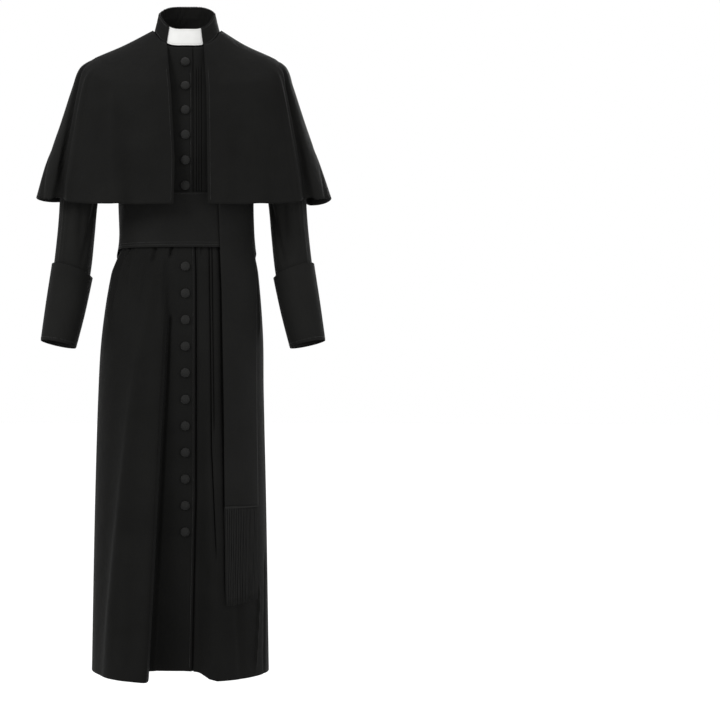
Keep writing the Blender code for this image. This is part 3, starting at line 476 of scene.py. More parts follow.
    def points(self, levels, angles, out=0.0, creased=1.0):
        """Points of the form, moved out along its normal."""
        levels, angles = np.broadcast_arrays(np.asarray(levels, float), np.asarray(angles, float))
        shape = levels.shape
        levels, angles = levels.ravel(), angles.ravel()
        point = self.bare(levels, angles)
        upper = np.minimum(levels + 0.003, self.table[0, 0])
        lower = np.maximum(levels - 0.003, self.table[-1, 0])
        across = self.bare(levels, angles + 0.6) - self.bare(levels, angles - 0.6)
        up = self.bare(upper, angles) - self.bare(lower, angles)
        normal = np.cross(across, up)
        normal /= np.linalg.norm(normal, axis=1)[:, None]
        relief = self.crease_depth(levels, angles)
        if self.grooves:
            below = (levels - sash_foot(angles) + 0.001) / 0.004
            relief -= 0.0035 * np.exp(-below**2)
        relief += self.groove_depth(levels, point[:, 0], np.cos(np.radians(angles)))
        lift = np.broadcast_to(out, shape).ravel() + creased * relief
        return (point + normal * lift[:, None]).reshape(shape + (3,))


BODY = Form(BODY_RINGS, BODY_FOLDS, BODY_CREASES, BODY_GROOVES)
CAPE = Form(CAPE_RINGS, CAPE_FOLDS, CAPE_CREASES, sags=CAPE_SAGS)


# ---------------------------------------------------------------- making cloth
def link(piece, finish, replaced):
    bpy.context.scene.collection.objects.link(piece)
    piece.data.materials.clear()
    piece.data.materials.append(finish)
    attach(piece, "root")
    if replaced:
        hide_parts(*replaced)
    return piece


def mesh_piece(name, bm, finish, replaced=(), smooth=True):
    mesh = bpy.data.meshes.new(name)
    bm.to_mesh(mesh)
    bm.free()
    if smooth:
        mesh.shade_smooth()
    return link(bpy.data.objects.new(name, mesh), finish, replaced)


def cloth_piece(name, points, finish, replaced=(), wall=0.0012, closed=False):
    """A sheet of cloth: a grid moved to the points (rows from the foot up, columns towards
    +X in front), its UV map in metres along the cloth, and a wall."""
    rows, columns = points.shape[:2]
    bm = bmesh.new()
    bm.loops.layers.uv.new("cloth")
    bmesh.ops.create_grid(bm, x_segments=columns - 1, y_segments=rows - 1, size=0.5,
                          calc_uvs=True)
    mesh = bpy.data.meshes.new(name)
    bm.to_mesh(mesh)
    bm.free()
    spot = np.empty(len(mesh.vertices) * 3)
    mesh.vertices.foreach_get("co", spot)
    spot = spot.reshape(-1, 3) + 0.5
    column = np.rint(spot[:, 0] * (columns - 1)).astype(int)
    row = np.rint(spot[:, 1] * (rows - 1)).astype(int)
    mesh.vertices.foreach_set("co", points[row, column].ravel())
    run = np.linalg.norm(np.diff(points, axis=1), axis=2)
    across = np.concatenate((np.zeros((rows, 1)), np.cumsum(run, axis=1)), axis=1)
    rise = np.linalg.norm(np.diff(points, axis=0), axis=2)
    along = np.concatenate((np.zeros((1, columns)), np.cumsum(rise, axis=0)), axis=0)
    corner = np.empty(len(mesh.loops), dtype=int)
    mesh.loops.foreach_get("vertex_index", corner)
    uv = np.stack((across[row, column][corner], along[row, column][corner]), axis=-1)
    mesh.uv_layers["cloth"].data.foreach_set("uv", uv.ravel())
    if closed:
        bm = bmesh.new()
        bm.from_mesh(mesh)
        bmesh.ops.remove_doubles(bm, verts=bm.verts, dist=1e-6)
        bm.to_mesh(mesh)
        bm.free()
    mesh.update()
    mesh.shade_smooth()
    piece = link(bpy.data.objects.new(name, mesh), finish, replaced)
    shell = piece.modifiers.new("wall", "SOLIDIFY")
    shell.thickness = wall
    shell.offset = -1.0
    return piece


def spread(stops):
    """Angles of every column at every level: stops are (angles at the levels, columns to the
    next stop)."""
    parts = []
    for (start, count), (end, _) in zip(stops, stops[1:]):
        share = np.arange(count) / count
        parts.append(start[:, None] + (end - start)[:, None] * share)
    parts.append(stops[-1][0][:, None])
    return np.hstack(parts)


def levels_between(foot, head, step):
    return np.linspace(foot, head, max(int(round((head - foot) / step)), 1) + 1)


def stitch_row(name, path, outward, finish, length, gap=0.0014, thick=0.00045):
    """Topstitching along a path of points: one small bar for each stitch, joined."""
    path = np.asarray(path)
    run = np.concatenate(([0.0], np.cumsum(np.linalg.norm(np.diff(path, axis=0), axis=1))))
    pitch = length + gap
    bm = bmesh.new()
    for index in range(int(run[-1] / pitch)):
        ends = [index * pitch, index * pitch + length]
        start, end = (Vector([np.interp(at, run, path[:, k]) for k in range(3)]) for at in ends)
        middle = (ends[0] + ends[1]) / 2
        face = Vector([np.interp(middle, run, outward[:, k]) for k in range(3)]).normalized()
        along = (end - start).normalized()
        side = along.cross(face).normalized()
        turn = Matrix((along, side, face)).transposed().to_4x4()
        place = Matrix.Translation((start + end) / 2 + face * thick * 0.3) @ turn
        scale = Matrix.Diagonal((length, thick, thick, 1.0))
        bmesh.ops.create_cube(bm, size=1.0, matrix=place @ scale)
    return mesh_piece(name, bm, finish, smooth=False)


# ---------------------------------------------------------------- finishes
def add(tree, kind, values=(), **settings):
    made = tree.nodes.new(kind)
    for key, value in settings.items():
        setattr(made, key, value)
    for name, value in dict(values).items():
        made.inputs[name].default_value = value
    return made


def matt_surface(name, specular, sheen):
    """A new surface that isn't metal, and its shader."""
    made = bpy.data.materials.new(name)
    made.use_nodes = True
    shader = made.node_tree.nodes["Principled BSDF"]
    shader.inputs["Metallic"].default_value = 0.0
    shader.inputs["Specular IOR Level"].default_value = specular
    shader.inputs["Sheen Weight"].default_value = sheen
    return made, shader


def tint(tree, shader, source, colour, dark, light):
    """Let the colour vary with the source from a darker share of it to a lighter one."""
    shade = add(tree, "ShaderNodeValToRGB")
    for element, share in zip(shade.color_ramp.elements, (dark, light)):
        element.color = (*(min(value * share, 1.0) for value in colour), 1.0)
    tree.links.new(source.outputs["Fac"], shade.inputs["Fac"])
    tree.links.new(shade.outputs["Color"], shader.inputs["Base Color"])
    return shade


def woven(name, colour, pitch, roughness=0.72, specular=0.03, sheen=0.03, relief=0.35,
          unevenness=0.5, ribbed=False):
    """Woven cloth: twill ridges and crossing threads along the cloth's own measure, slubs,
    and a little unevenness of colour, relief and shine."""
    made, shader = matt_surface(name, specular, sheen)
    tree = made.node_tree
    shader.inputs["Sheen Roughness"].default_value = 0.45
    shader.inputs["Sheen Tint"].default_value = (0.55, 0.55, 0.55, 1.0)
    measure = add(tree, "ShaderNodeUVMap", uv_map="cloth")
    place = add(tree, "ShaderNodeTexCoord")
    twill = add(tree, "ShaderNodeTexWave", {"Scale": 0.314 / pitch, "Distortion": 0.6,
                                            "Detail": 1.0, "Detail Scale": 2.0},
                wave_type="BANDS", bands_direction="X" if ribbed else "DIAGONAL")
    thread = add(tree, "ShaderNodeTexWave", {"Scale": 0.314 / (pitch * 0.7), "Distortion": 0.4},
                 wave_type="BANDS", bands_direction="Y")
    slub = add(tree, "ShaderNodeTexNoise", {"Scale": 260.0, "Detail": 3.0, "Roughness": 0.6})
    cloud = add(tree, "ShaderNodeTexNoise", {"Scale": 9.0, "Detail": 4.0, "Roughness": 0.55})
    soft = add(tree, "ShaderNodeTexNoise", {"Scale": 28.0, "Detail": 2.0, "Roughness": 0.5})
    for texture in (twill, thread, slub):
        tree.links.new(measure.outputs["UV"], texture.inputs["Vector"])
    for texture in (cloud, soft):
        tree.links.new(place.outputs["Object"], texture.inputs["Vector"])
    crossed = add(tree, "ShaderNodeMath", operation="MULTIPLY_ADD")
    crossed.inputs[1].default_value = 0.6
    tree.links.new(twill.outputs["Fac"], crossed.inputs[0])
    tree.links.new(thread.outputs["Fac"], crossed.inputs[2])
    height = add(tree, "ShaderNodeMath", operation="MULTIPLY_ADD")
    height.inputs[1].default_value = 0.5
    tree.links.new(slub.outputs["Fac"], height.inputs[0])
    tree.links.new(crossed.outputs["Value"], height.inputs[2])
    broad = add(tree, "ShaderNodeBump", {"Strength": unevenness, "Distance": 0.004})
    tree.links.new(soft.outputs["Fac"], broad.inputs["Height"])
    fine = add(tree, "ShaderNodeBump", {"Strength": relief, "Distance": 0.0002})
    tree.links.new(height.outputs["Value"], fine.inputs["Height"])
    tree.links.new(broad.outputs["Normal"], fine.inputs["Normal"])
    tree.links.new(fine.outputs["Normal"], shader.inputs["Normal"])
    shade = tint(tree, shader, cloud, colour, 0.82, 1.15)
    shade.color_ramp.elements[0].position = 0.25
    shade.color_ramp.elements[1].position = 0.75
    shine = add(tree, "ShaderNodeMapRange", {"From Min": 0.3, "From Max": 0.7,
                                             "To Min": roughness - 0.06,
                                             "To Max": roughness + 0.06})
    tree.links.new(slub.outputs["Fac"], shine.inputs["Value"])
    tree.links.new(shine.outputs["Result"], shader.inputs["Roughness"])
    return made


def grained(name, colour, roughness, specular=0.3, scale=900.0, relief=0.2, sheen=0.0):
    """A surface with its grain in the object's own space."""
    made, shader = matt_surface(name, specular, sheen)
    tree = made.node_tree
    place = add(tree, "ShaderNodeTexCoord")
    grain = add(tree, "ShaderNodeTexNoise", {"Scale": scale, "Detail": 4.0, "Roughness": 0.6})
    cloud = add(tree, "ShaderNodeTexNoise", {"Scale": scale / 20.0, "Detail": 3.0})
    for texture in (grain, cloud):
        tree.links.new(place.outputs["Object"], texture.inputs["Vector"])
    bump = add(tree, "ShaderNodeBump", {"Strength": relief, "Distance": 0.2 / scale})
    tree.links.new(grain.outputs["Fac"], bump.inputs["Height"])
    tree.links.new(bump.outputs["Normal"], shader.inputs["Normal"])
    tint(tree, shader, cloud, colour, 0.94, 1.06)
    shine = add(tree, "ShaderNodeMapRange", {"To Min": roughness - 0.05, "To Max": roughness + 0.05})
    tree.links.new(grain.outputs["Fac"], shine.inputs["Value"])
    tree.links.new(shine.outputs["Result"], shader.inputs["Roughness"])
    return made


def floor_paper_painted_shade_glow():
    """Pale paper with painted shade, darker under the garment than far away, where a painted glow makes it
    give off light softly.
    """
    made = grained("floor_paper_painted_shade_glow", (0.9, 0.9, 0.9), 0.8, 0.1, 60.0, 0.05)
    tree = made.node_tree
    shader = tree.nodes["Principled BSDF"]
    place = add(tree, "ShaderNodeTexCoord")
    reach = add(tree, "ShaderNodeVectorMath", operation="LENGTH")
    tree.links.new(place.outputs["Object"], reach.inputs[0])
    far = add(tree, "ShaderNodeMapRange", {"From Min": 1.4, "From Max": 3.4,
                                           "To Min": 0.0, "To Max": 1.0})
    tree.links.new(reach.outputs["Value"], far.inputs["Value"])
    # painted shade: the paper is darker near the garment
    shade = add(tree, "ShaderNodeValToRGB")
    shade.color_ramp.elements[0].color = (0.34, 0.34, 0.34, 1.0)
    shade.color_ramp.elements[1].color = (0.92, 0.92, 0.92, 1.0)
    tree.links.new(far.outputs["Result"], shade.inputs["Fac"])
    tree.links.new(shade.outputs["Color"], shader.inputs["Base Color"])
    # painted glow: the far paper gives off light though it is no lamp
    painted_glow = add(tree, "ShaderNodeMath", operation="MULTIPLY")
    painted_glow.inputs[1].default_value = 0.2
    tree.links.new(far.outputs["Result"], painted_glow.inputs[0])
    shader.inputs["Emission Color"].default_value = (1.0, 1.0, 1.0, 1.0)
    tree.links.new(painted_glow.outputs["Value"], shader.inputs["Emission Strength"])
    return made


def body_cloth():
    settings = bpy.context.scene.cassock_cloth
    return (bpy.data.materials.get("cassock_cloth")
            or woven("cassock_cloth", settings.colour, settings.thread))


# ---------------------------------------------------------------- body panels
ARMHOLE_ROWS = 32
PLACKET_LINES = (0.0063, 0.0084, 0.0139, 0.0197)    # folds and tucks left of the placket's edge
PLEAT_LINES = (0.0, 0.0060)                         # the stitched pleat's two lines
LINE_COLUMNS = (-0.0016, -0.0006, 0.0, 0.0006, 0.0016)      # columns of points across a line
LEAST_COLUMN = 0.0004                               # the narrowest column that is kept
GAP_COLUMNS = (-0.0005, 0.0006, 0.0016, 0.0026, 0.0036)     # columns across the placket's gap
ROLL_COLUMNS = ((-0.0076, 2), (-0.0060, 2), (-0.0044, 2), (-0.0018, 3), (0.0, 0))
FOLD_COLUMNS = ((-0.012, 6), (-0.004, 8), (0.005, 8), (0.018, 14))      # across the deep fold
ROLL_DEPTH = 0.0010         # how far the right front's edge rolls under
ROLL_WIDTH = 0.0018


def body_levels(step):
    share = (1.0 - np.cos(np.pi * np.arange(1, ARMHOLE_ROWS) / ARMHOLE_ROWS)) / 2.0
    armhole = UNDERARM_LEVEL + (SHOULDER_LEVEL - UNDERARM_LEVEL) * share
    return np.concatenate((levels_between(HEM_LEVEL, UNDERARM_LEVEL, step), armhole,
                           levels_between(SHOULDER_LEVEL, NECK_LEVEL, step)))


def side_angles(levels):
    """The angle of a panel's side edge from the front middle: it dips in at the armhole."""
    share = np.clip((SHOULDER_LEVEL - levels) / (SHOULDER_LEVEL - UNDERARM_LEVEL), 0.0, 1.0)
    return 90.0 - ARMHOLE_REACH * 2.0 * np.sqrt(share * (1.0 - share))


def reversed_stops(stops):
    """The same stops from the other end, each count still between its own two stops."""
    return [(angle, count) for (angle, _), (_, count)
            in zip(stops[::-1], stops[-2::-1] + [(None, 0)])]


def front_angles(levels, edge, offset=0.0):
    return BODY.angle(levels, edge_x(edge, levels) + offset)


def front_right_points(levels):
    """The right front; its edge rolls under a little."""
    deep = edge_x(DEEP_FOLD, levels)
    stops = [(-side_angles(levels) + 0.1, 44)]
    stops += [(BODY.angle(levels, deep + offset), count) for offset, count in FOLD_COLUMNS]
    stops += [(front_angles(levels, PLACKET_EDGE, offset), count) for offset, count in ROLL_COLUMNS]
    angles = spread(stops)
    away = np.radians(front_angles(levels, PLACKET_EDGE)[:, None] - angles) * 0.14
    roll = (1.0 - np.minimum(away / ROLL_WIDTH, 1.0)) ** 2
    return BODY.points(levels[:, None], angles, -ROLL_DEPTH * roll)


def front_left_points(levels):
    """The left front lies under the right front as far as the placket edge, and rises beside
    it, which leaves a shadowed gap."""
    lines = [edge_x(PLACKET_EDGE, levels) + offset for offset in PLACKET_LINES]
    lines += [edge_x(PLEAT_LINE, levels) + offset for offset in PLEAT_LINES]
    lines.append(edge_x(TAIL_RIGHT_EDGE, levels))
    stops = [(front_angles(levels, UNDER_EDGE), 7), (front_angles(levels, PLACKET_EDGE, -0.003), 2)]
    stops += [(front_angles(levels, PLACKET_EDGE, offset), 1) for offset in GAP_COLUMNS]
    last = edge_x(PLACKET_EDGE, levels) + 0.0042
    for line in lines:
        for shift in LINE_COLUMNS:
            last = np.maximum(line + shift, last + LEAST_COLUMN)
            stops.append((BODY.angle(levels, last), 1 if shift < LINE_COLUMNS[-1] else 2))
    stops += [(BODY.angle(levels, last + 0.004), 44), (side_angles(levels) - 0.1, 0)]
    angles = spread(stops)
    away = np.radians(angles - front_angles(levels, PLACKET_EDGE)[:, None]) * 0.14
    down = soft_step((-0.40 - levels) / 0.14)[:, None]
    under = LAP + 0.0010 + 0.0040 * down
    return BODY.points(levels[:, None], angles, -under * (1.0 - soft_step((away - 0.0012) / 0.0030)))


def back_points(levels, side):
    """A back panel; its edge turns under at the inverted pleat and under the front at the side."""
    half = edge_x(PLEAT_HALF, levels)
    middle = edge_x(BACK_MIDDLE, levels)
    edge = BODY.angle(levels, middle + side * half, "back")
    near = BODY.angle(levels, middle + side * (half + 0.006), "back")
    lines = [BODY.angle(levels, edge_x(groove.edge, levels) + groove.offset + side * shift, "back")
             for groove in BODY_GROOVES if groove.side == "back" and side * groove.offset > 0.0
             for shift in (-0.0016, 0.0, 0.0016)]
    seam = 180.0 - side * (side_angles(levels) - 0.1)
    stops = [(edge, 6), (near, 6)] + [(line, 4) for line in lines] + [(seam, 6)]
    if len(stops) == 3:
        stops[1] = (near, 60)
    else:
        stops[-2] = (lines[-1], 46)
    stops.append((seam - side * SEAM_TURNING, 0))
    angles = spread(reversed_stops(stops) if side > 0 else stops)
    away = np.radians(np.abs(angles - edge[:, None])) * 0.16
    opening = soft_step((half - 0.001) / 0.004)[:, None]
    past = side * (seam[:, None] - angles)
    return BODY.points(levels[:, None], angles,
                       -0.0080 * opening * (1.0 - soft_step(away / 0.005))
                       - TURNING_DROP * soft_step(past / 0.2))


def pleat_points(levels):
    """The underlay inside the inverted pleat: a bowl, deeper towards its hem."""
    across = np.linspace(1.0, -1.0, 41)
    half = edge_x(PLEAT_HALF, levels)[:, None] + PLEAT_TUCK
    middle = edge_x(BACK_MIDDLE, levels)[:, None]
    run = ((levels[-1] - levels) / (levels[-1] - levels[0]))[:, None] ** PLEAT_EASE
    depth = -PLEAT_CLEAR - PLEAT_DEPTH * run * (1.0 - np.abs(across) ** PLEAT_ROUND)[None, :]
    angles = np.stack([BODY.angle(levels, (middle[:, 0] + half[:, 0] * value), "back")
                       for value in across], axis=1)
    return BODY.points(levels[:, None], angles, depth, creased=0.0)


class CASSOCK_OT_body(bpy.types.Operator):
    """Make the front and back panels and the pleat's underlay"""
    bl_idname = "cassock.body"
    bl_label = "Body panels"

    def execute(self, context):
        settings = context.scene.cassock_cloth
        finish = body_cloth()
        levels = body_levels(settings.row_step)
        panels = {"front_right": front_right_points(levels),
                  "front_left": front_left_points(levels),
                  "back_left": back_points(levels, 1),
                  "back_right": back_points(levels, -1)}
        for node, points in panels.items():
            piece = cloth_piece("cloth_" + node, points, finish, (node,), settings.wall)
        inner = levels[(levels < PLEAT_HEAD) & (levels > PLEAT_FOOT + 0.002)]
        inner = np.concatenate(([PLEAT_FOOT], inner))
        piece = cloth_piece("cloth_back_pleat", pleat_points(inner), finish,
                            ("back_pleat",), settings.wall)
        return {"FINISHED"}


# ---------------------------------------------------------------- sleeves and cuffs
# A sleeve crease runs from one place to another: how far down the sleeve, and how far round
# from its front towards its outer side in degrees.
SleeveCrease = namedtuple("SleeveCrease", "run0 turn0 run1 turn1 width depth")
SLEEVE_CREASES = (
    SleeveCrease(2.6, 28.0, 7.4, 32.0, 5.0, 0.0026),
    SleeveCrease(2.8, 44.0, 7.4, 42.0, 4.5, 0.0022),
    SleeveCrease(2.4, -8.0, 6.6, -20.0, 12.0, -0.0030),
    SleeveCrease(3.0, -55.0, 5.4, -40.0, 10.0, 0.0030),
    SleeveCrease(4.6, -70.0, 7.0, -30.0, 9.0, -0.0030),
    SleeveCrease(1.2, 60.0, 5.0, 80.0, 12.0, 0.0030),
    SleeveCrease(2.6, 150.0, 7.2, 146.0, 9.0, 0.0036),
    SleeveCrease(3.2, 172.0, 7.2, 178.0, 9.0, -0.0030),
    SleeveCrease(2.4, 205.0, 6.8, 200.0, 10.0, 0.0030),
    SleeveCrease(4.6, 250.0, 5.6, 190.0, 12.0, -0.0026),
)
SLEEVE_PAINTED_LIGHT = 1.5            # painted light: the sleeves' and cuffs' cloth is this much lighter than the body's, against the shade under the cape


def ring_points(ring, side, turns, out):
    outer = np.array((ring.outer_x, ring.y, ring.outer_z))
    inner = np.array((ring.inner_x, ring.y, ring.inner_z))
    middle, across = (outer + inner) / 2, (outer - inner) / 2
    across = across * (1.0 + out / np.linalg.norm(across))
    half = ring.half_depth + out
    forward = np.array((0.0, -half, half * WRIST_TILT))
    turn = np.radians(turns)[:, None]
    points = middle + across * np.sin(turn) + forward * np.cos(turn)
    return points * np.array((side, 1.0, 1.0)) + np.array((SLEEVE_SHIFT, 0.0, 0.0))


def armhole_points(side, turns, out):
    turn = np.radians(turns)
    share = (1.0 - np.sin(turn) * ARMHOLE_INSET) / 2.0
    levels = SHOULDER_LEVEL + (UNDERARM_LEVEL - SHOULDER_LEVEL) * share
    angles = (90.0 - ARMHOLE_REACH * ARMHOLE_INSET * np.cos(turn)) * side
    return BODY.points(levels, angles, out)


def along_loops(loops, samples):
    """Loops of points between the given loops, on a smooth curve through them."""
    loops = np.asarray(loops)
    last = len(loops) - 1
    base = np.clip(samples.astype(int), 0, last - 1)
    t = (samples - base)[:, None, None]
    p0, p1 = loops[np.maximum(base - 1, 0)], loops[base]
    p2, p3 = loops[base + 1], loops[np.minimum(base + 2, last)]
    return 0.5 * (2 * p1 + (p2 - p0) * t + (2 * p0 - 5 * p1 + 4 * p2 - p3) * t**2
                  + (3 * p1 - p0 - 3 * p2 + p3) * t**3)


def tube_points(loops_at, samples, side, turns, creases=()):
    """A tube through loops, creased; rows from the foot up and columns so that faces are out."""
    face = along_loops(loops_at(0.0), samples)
    out = along_loops(loops_at(0.001), samples) - face
    out /= np.linalg.norm(out, axis=2)[:, :, None]
    run, turn = samples[:, None], turns[None, :]
    lift = np.zeros(face.shape[:2])
    for crease in creases:
        share = (run - crease.run0) / (crease.run1 - crease.run0)
        middle = crease.turn0 + (crease.turn1 - crease.turn0) * share
        away = (turn - middle + 180.0) % 360.0 - 180.0
        taper = soft_step((share + 0.15) / 0.35) * soft_step((1.15 - share) / 0.35)
        lift += crease.depth * np.exp(-(away / crease.width) ** 2) * taper
    points = (face + out * lift[:, :, None])[::-1]
    return points if side > 0 else points[:, ::-1]


class CASSOCK_OT_sleeves(bpy.types.Operator):
    """Make both sleeves and their turned-back cuffs"""
    bl_idname = "cassock.sleeves"
    bl_label = "Sleeves and cuffs"

    def execute(self, context):
        settings = context.scene.cassock_cloth
        # painted light: the sleeves and cuffs get a lighter copy of the body's cloth
        finish = woven("sleeve_cloth_painted_light", [value * SLEEVE_PAINTED_LIGHT for value in settings.colour],
                       settings.thread)
        turns = np.linspace(0.0, 360.0, 97)
        for side, word in ((1, "left"), (-1, "right")):
            def sleeve_loops(out, side=side):
                return [armhole_points(side, turns, out)] + [
                    ring_points(ring, side, turns, out) for ring in SLEEVE_RINGS]

            def cuff_loops(out, side=side):
                return [ring_points(ring, side, turns, out) for ring in CUFF_RINGS]

            samples = np.linspace(0.0, len(SLEEVE_RINGS), 136)
            points = tube_points(sleeve_loops, samples, side, turns, SLEEVE_CREASES)
            sleeve = cloth_piece("cloth_sleeve_" + word, points, finish,
                                 ("sleeve_" + word,), settings.wall, closed=True)
            samples = np.linspace(0.0, len(CUFF_RINGS) - 1.0, 45)
            points = tube_points(cuff_loops, samples, side, turns)
            points += cuff_shape(points, samples, turns, side)
            cuff = cloth_piece("cloth_cuff_" + word, points, finish, ("cuff_" + word,),
                               CUFF_WALL, closed=True)
        return {"FINISHED"}


def cuff_shape(points, samples, turns, side):
    """The cuff's upper edge stands higher in front, and a stitched band runs round its foot."""
    run = (samples / samples[-1])[::-1, None]
    turn = turns if side > 0 else turns[::-1]
    front = np.maximum(np.cos(np.radians(turn - 20.0)), 0.0)[None, :] ** 0.7
    move = np.zeros(points.shape)
    move[..., 2] = 0.006 * front * (1.0 - run) ** 2
    middle = points.mean(axis=1, keepdims=True)
    outward = points - middle
    outward /= np.linalg.norm(outward, axis=2)[:, :, None]
    groove = np.exp(-((run - 0.93) / 0.012) ** 2) * -0.0006
    rim = np.exp(-((run - 1.0) / 0.02) ** 2) * -0.0005
    return move + outward * (groove + rim)[..., None]


# ---------------------------------------------------------------- collar
def collar_points(angles, shares, out):
    """Points of the collar: shares run up from its seam to its top edge."""
    base = BODY.bare(np.full(angles.shape, NECK_LEVEL), angles)
    table = BODY_RINGS[0]
    centre = np.stack((np.full(len(base), table.centre),
                       np.full(len(base), (table.back - table.front) / 2), base[:, 2]), axis=-1)
    outward = base - centre
    outward /= np.linalg.norm(outward, axis=1)[:, None]
    stand = COLLAR_STAND + out - COLLAR_LEAN * shares[:, None]
    points = base[None] + outward[None] * np.broadcast_to(stand, (len(shares), len(base)))[..., None]
    height = COLLAR_HEIGHT + COLLAR_BACK_RISE * np.maximum(-np.cos(np.radians(angles)), 0.0)
    points[..., 2] += COLLAR_LIFT + height[None, :] * shares[:, None]
    return points


def collar_ends():
    """The angles of the collar's right and left front ends."""
    return [BODY.angle(NECK_LEVEL, x)[0] for x in (TAB_RIGHT_X, TAB_LEFT_X)]


class CASSOCK_OT_collar(bpy.types.Operator):
    """Make the standing collar band and the white tab in its front"""
    bl_idname = "cassock.collar"
    bl_label = "Collar and tab"

    def execute(self, context):
        settings = context.scene.cassock_cloth
        finish = body_cloth()
        right_end, left_end = collar_ends()
        angles = np.linspace(left_end, 360.0 + right_end, 221)
        shares = np.concatenate(([0.0, 0.04, 0.08], np.linspace(0.14, 0.86, 13),
                                 [0.92, 0.96, 1.0]))
        line = np.exp(-((shares - 0.50) / 0.03) ** 2) * -0.0006
        behind = soft_step(-np.cos(np.radians(angles)) / 0.5)[None, :]
        turn = (angles + 9.0 * np.sin(angles * 0.13))[None, :]
        crumple = np.sin(turn * 0.43 + 4.0 * shares[:, None]) * np.sin(turn * 0.15 - 7.0 * shares[:, None])
        points = collar_points(angles, shares, line[:, None] + 0.0009 * behind * crumple)
        pucker = np.abs(np.sin(np.arange(len(angles)) * 0.72)) * soft_step((shares - 0.7) / 0.3)[:, None]
        points[..., 2] += 0.0020 * pucker * (0.3 + 0.7 * behind)
        band = cloth_piece("cloth_collar_band", points, finish, ("collar_band",),
                           COLLAR_WALL)
        white = woven("tab_white", settings.tab_colour, 0.0006, 0.5, 0.35, 0.1, 0.25, 0.1)
        angles = np.linspace(right_end - TAB_UNDER, left_end + TAB_UNDER, 61)
        shares = np.linspace(0.06, 0.96, 25)
        edge = np.minimum(shares - 0.06, 0.96 - shares)[:, None] * COLLAR_HEIGHT
        out = -0.0031 - 0.0004 * np.exp(-((edge - 0.0035) / 0.0007) ** 2)
        tab = cloth_piece("tab_front", collar_points(angles, shares, out), white,
                          ("collar_tab",), TAB_WALL)
        return {"FINISHED"}


# ---------------------------------------------------------------- shoulder cape
def cape_levels():
    hem, chest, shoulder, seam = CAPE_EDGE_LEVELS
    return np.concatenate((np.linspace(hem, chest, 52)[:-1], np.linspace(chest, shoulder, 14)[:-1],
                           np.linspace(shoulder, seam, 18)))


def cape_front_points(levels, side):
    edge = CAPE_LEFT_EDGE if side > 0 else CAPE_RIGHT_EDGE
    inner = CAPE.angle(levels, edge_x(edge, levels))
    down = CAPE_FOLD_LEVEL - levels
    ridge = CAPE.angle(levels, side * (0.205 + 0.13 * down))
    near = CAPE.angle(levels, side * (0.190 + 0.12 * down))
    stops = [(inner, 34), (near, 12), (ridge, 12),
             (ridge * 0.5 + side * 45.0, 12), (np.full(len(levels), side * 89.9), 0)]
    return CAPE.points(levels[:, None], spread(reversed_stops(stops) if side < 0 else stops))


class CASSOCK_OT_cape(bpy.types.Operator):
    """Make the open-fronted shoulder cape"""
    bl_idname = "cassock.cape"
    bl_label = "Shoulder cape"

    def execute(self, context):
        settings = context.scene.cassock_cloth
        finish = woven("cape_cloth", settings.colour, settings.thread)
        levels = cape_levels()
        angles = np.linspace(90.1, 269.9, 151)
        shapes = {"cape_front_left": cape_front_points(levels, 1),
                  "cape_front_right": cape_front_points(levels, -1),
                  "cape_back": CAPE.points(levels[:, None], angles[None, :])}
        for node, points in shapes.items():
            piece = cloth_piece("cloth_" + node, points, finish, (node,),
                                CAPE_WALL)
        return {"FINISHED"}


# ---------------------------------------------------------------- sash
def sash_foot(angles):
    """The level of the sash's lower edge, which is lower at the back."""
    round_side = np.abs((angles + 180.0) % 360.0 - 180.0)
    back = soft_step((round_side - SASH_TURN) / (SASH_LEVEL - SASH_TURN))
    return SASH_FRONT_FOOT + (SASH_BACK_FOOT - SASH_FRONT_FOOT) * back


def sash_points(angles, shares):
    levels = sash_foot(angles)[None, :] + SASH_WIDTH * shares[:, None]
    over = soft_step((SASH_OVER_FROM - angles) / SASH_OVER_RUN)[None, :]
    lift = SASH_STAND + SASH_OVER_STAND * over
    wave = 0.0007 * np.sin(angles * 0.23)[None, :] * np.sin(shares * 5.0 + 0.4)[:, None]
    return BODY.points(levels, np.broadcast_to(angles, levels.shape), lift + wave, creased=0.0)


def tail_points(levels, columns, lift):
    right = front_angles(levels, TAIL_RIGHT_EDGE)
    left = front_angles(levels, TAIL_LEFT_EDGE)
    share = np.linspace(0.0, 1.0, columns)
    angles = right[:, None] + (left - right)[:, None] * share
    sway = 0.0012 * np.sin(levels * 14.0)[:, None] * np.cos(share * 4.0)[None, :]
    return BODY.points(levels[:, None], angles, lift + sway, creased=0.0)


def strand(bm, path, radius):
    """A thin four-sided strand of thread along a path."""
    sides = 4
    previous = None
    for index, spot in enumerate(path):
        after = path[min(index + 1, len(path) - 1)]
        before = path[max(index - 1, 0)]
        along = Vector(after - before).normalized()
        across = along.cross(Vector((0.0, 1.0, 0.0))).normalized()
        deep = along.cross(across)
        size = radius * (1.0 if index < len(path) - 2 else 0.7)
        loop = [bm.verts.new(Vector(spot) + (across * math.cos(turn) + deep * math.sin(turn)) * size)
                for turn in (2.0 * math.pi * step / sides for step in range(sides))]
        if previous:
            for step in range(sides):
                after_step = (step + 1) % sides
                bm.faces.new((previous[step], previous[after_step], loop[after_step], loop[step]))
        else:
            bm.faces.new(loop[::-1])
        previous = loop
    bm.faces.new(previous)


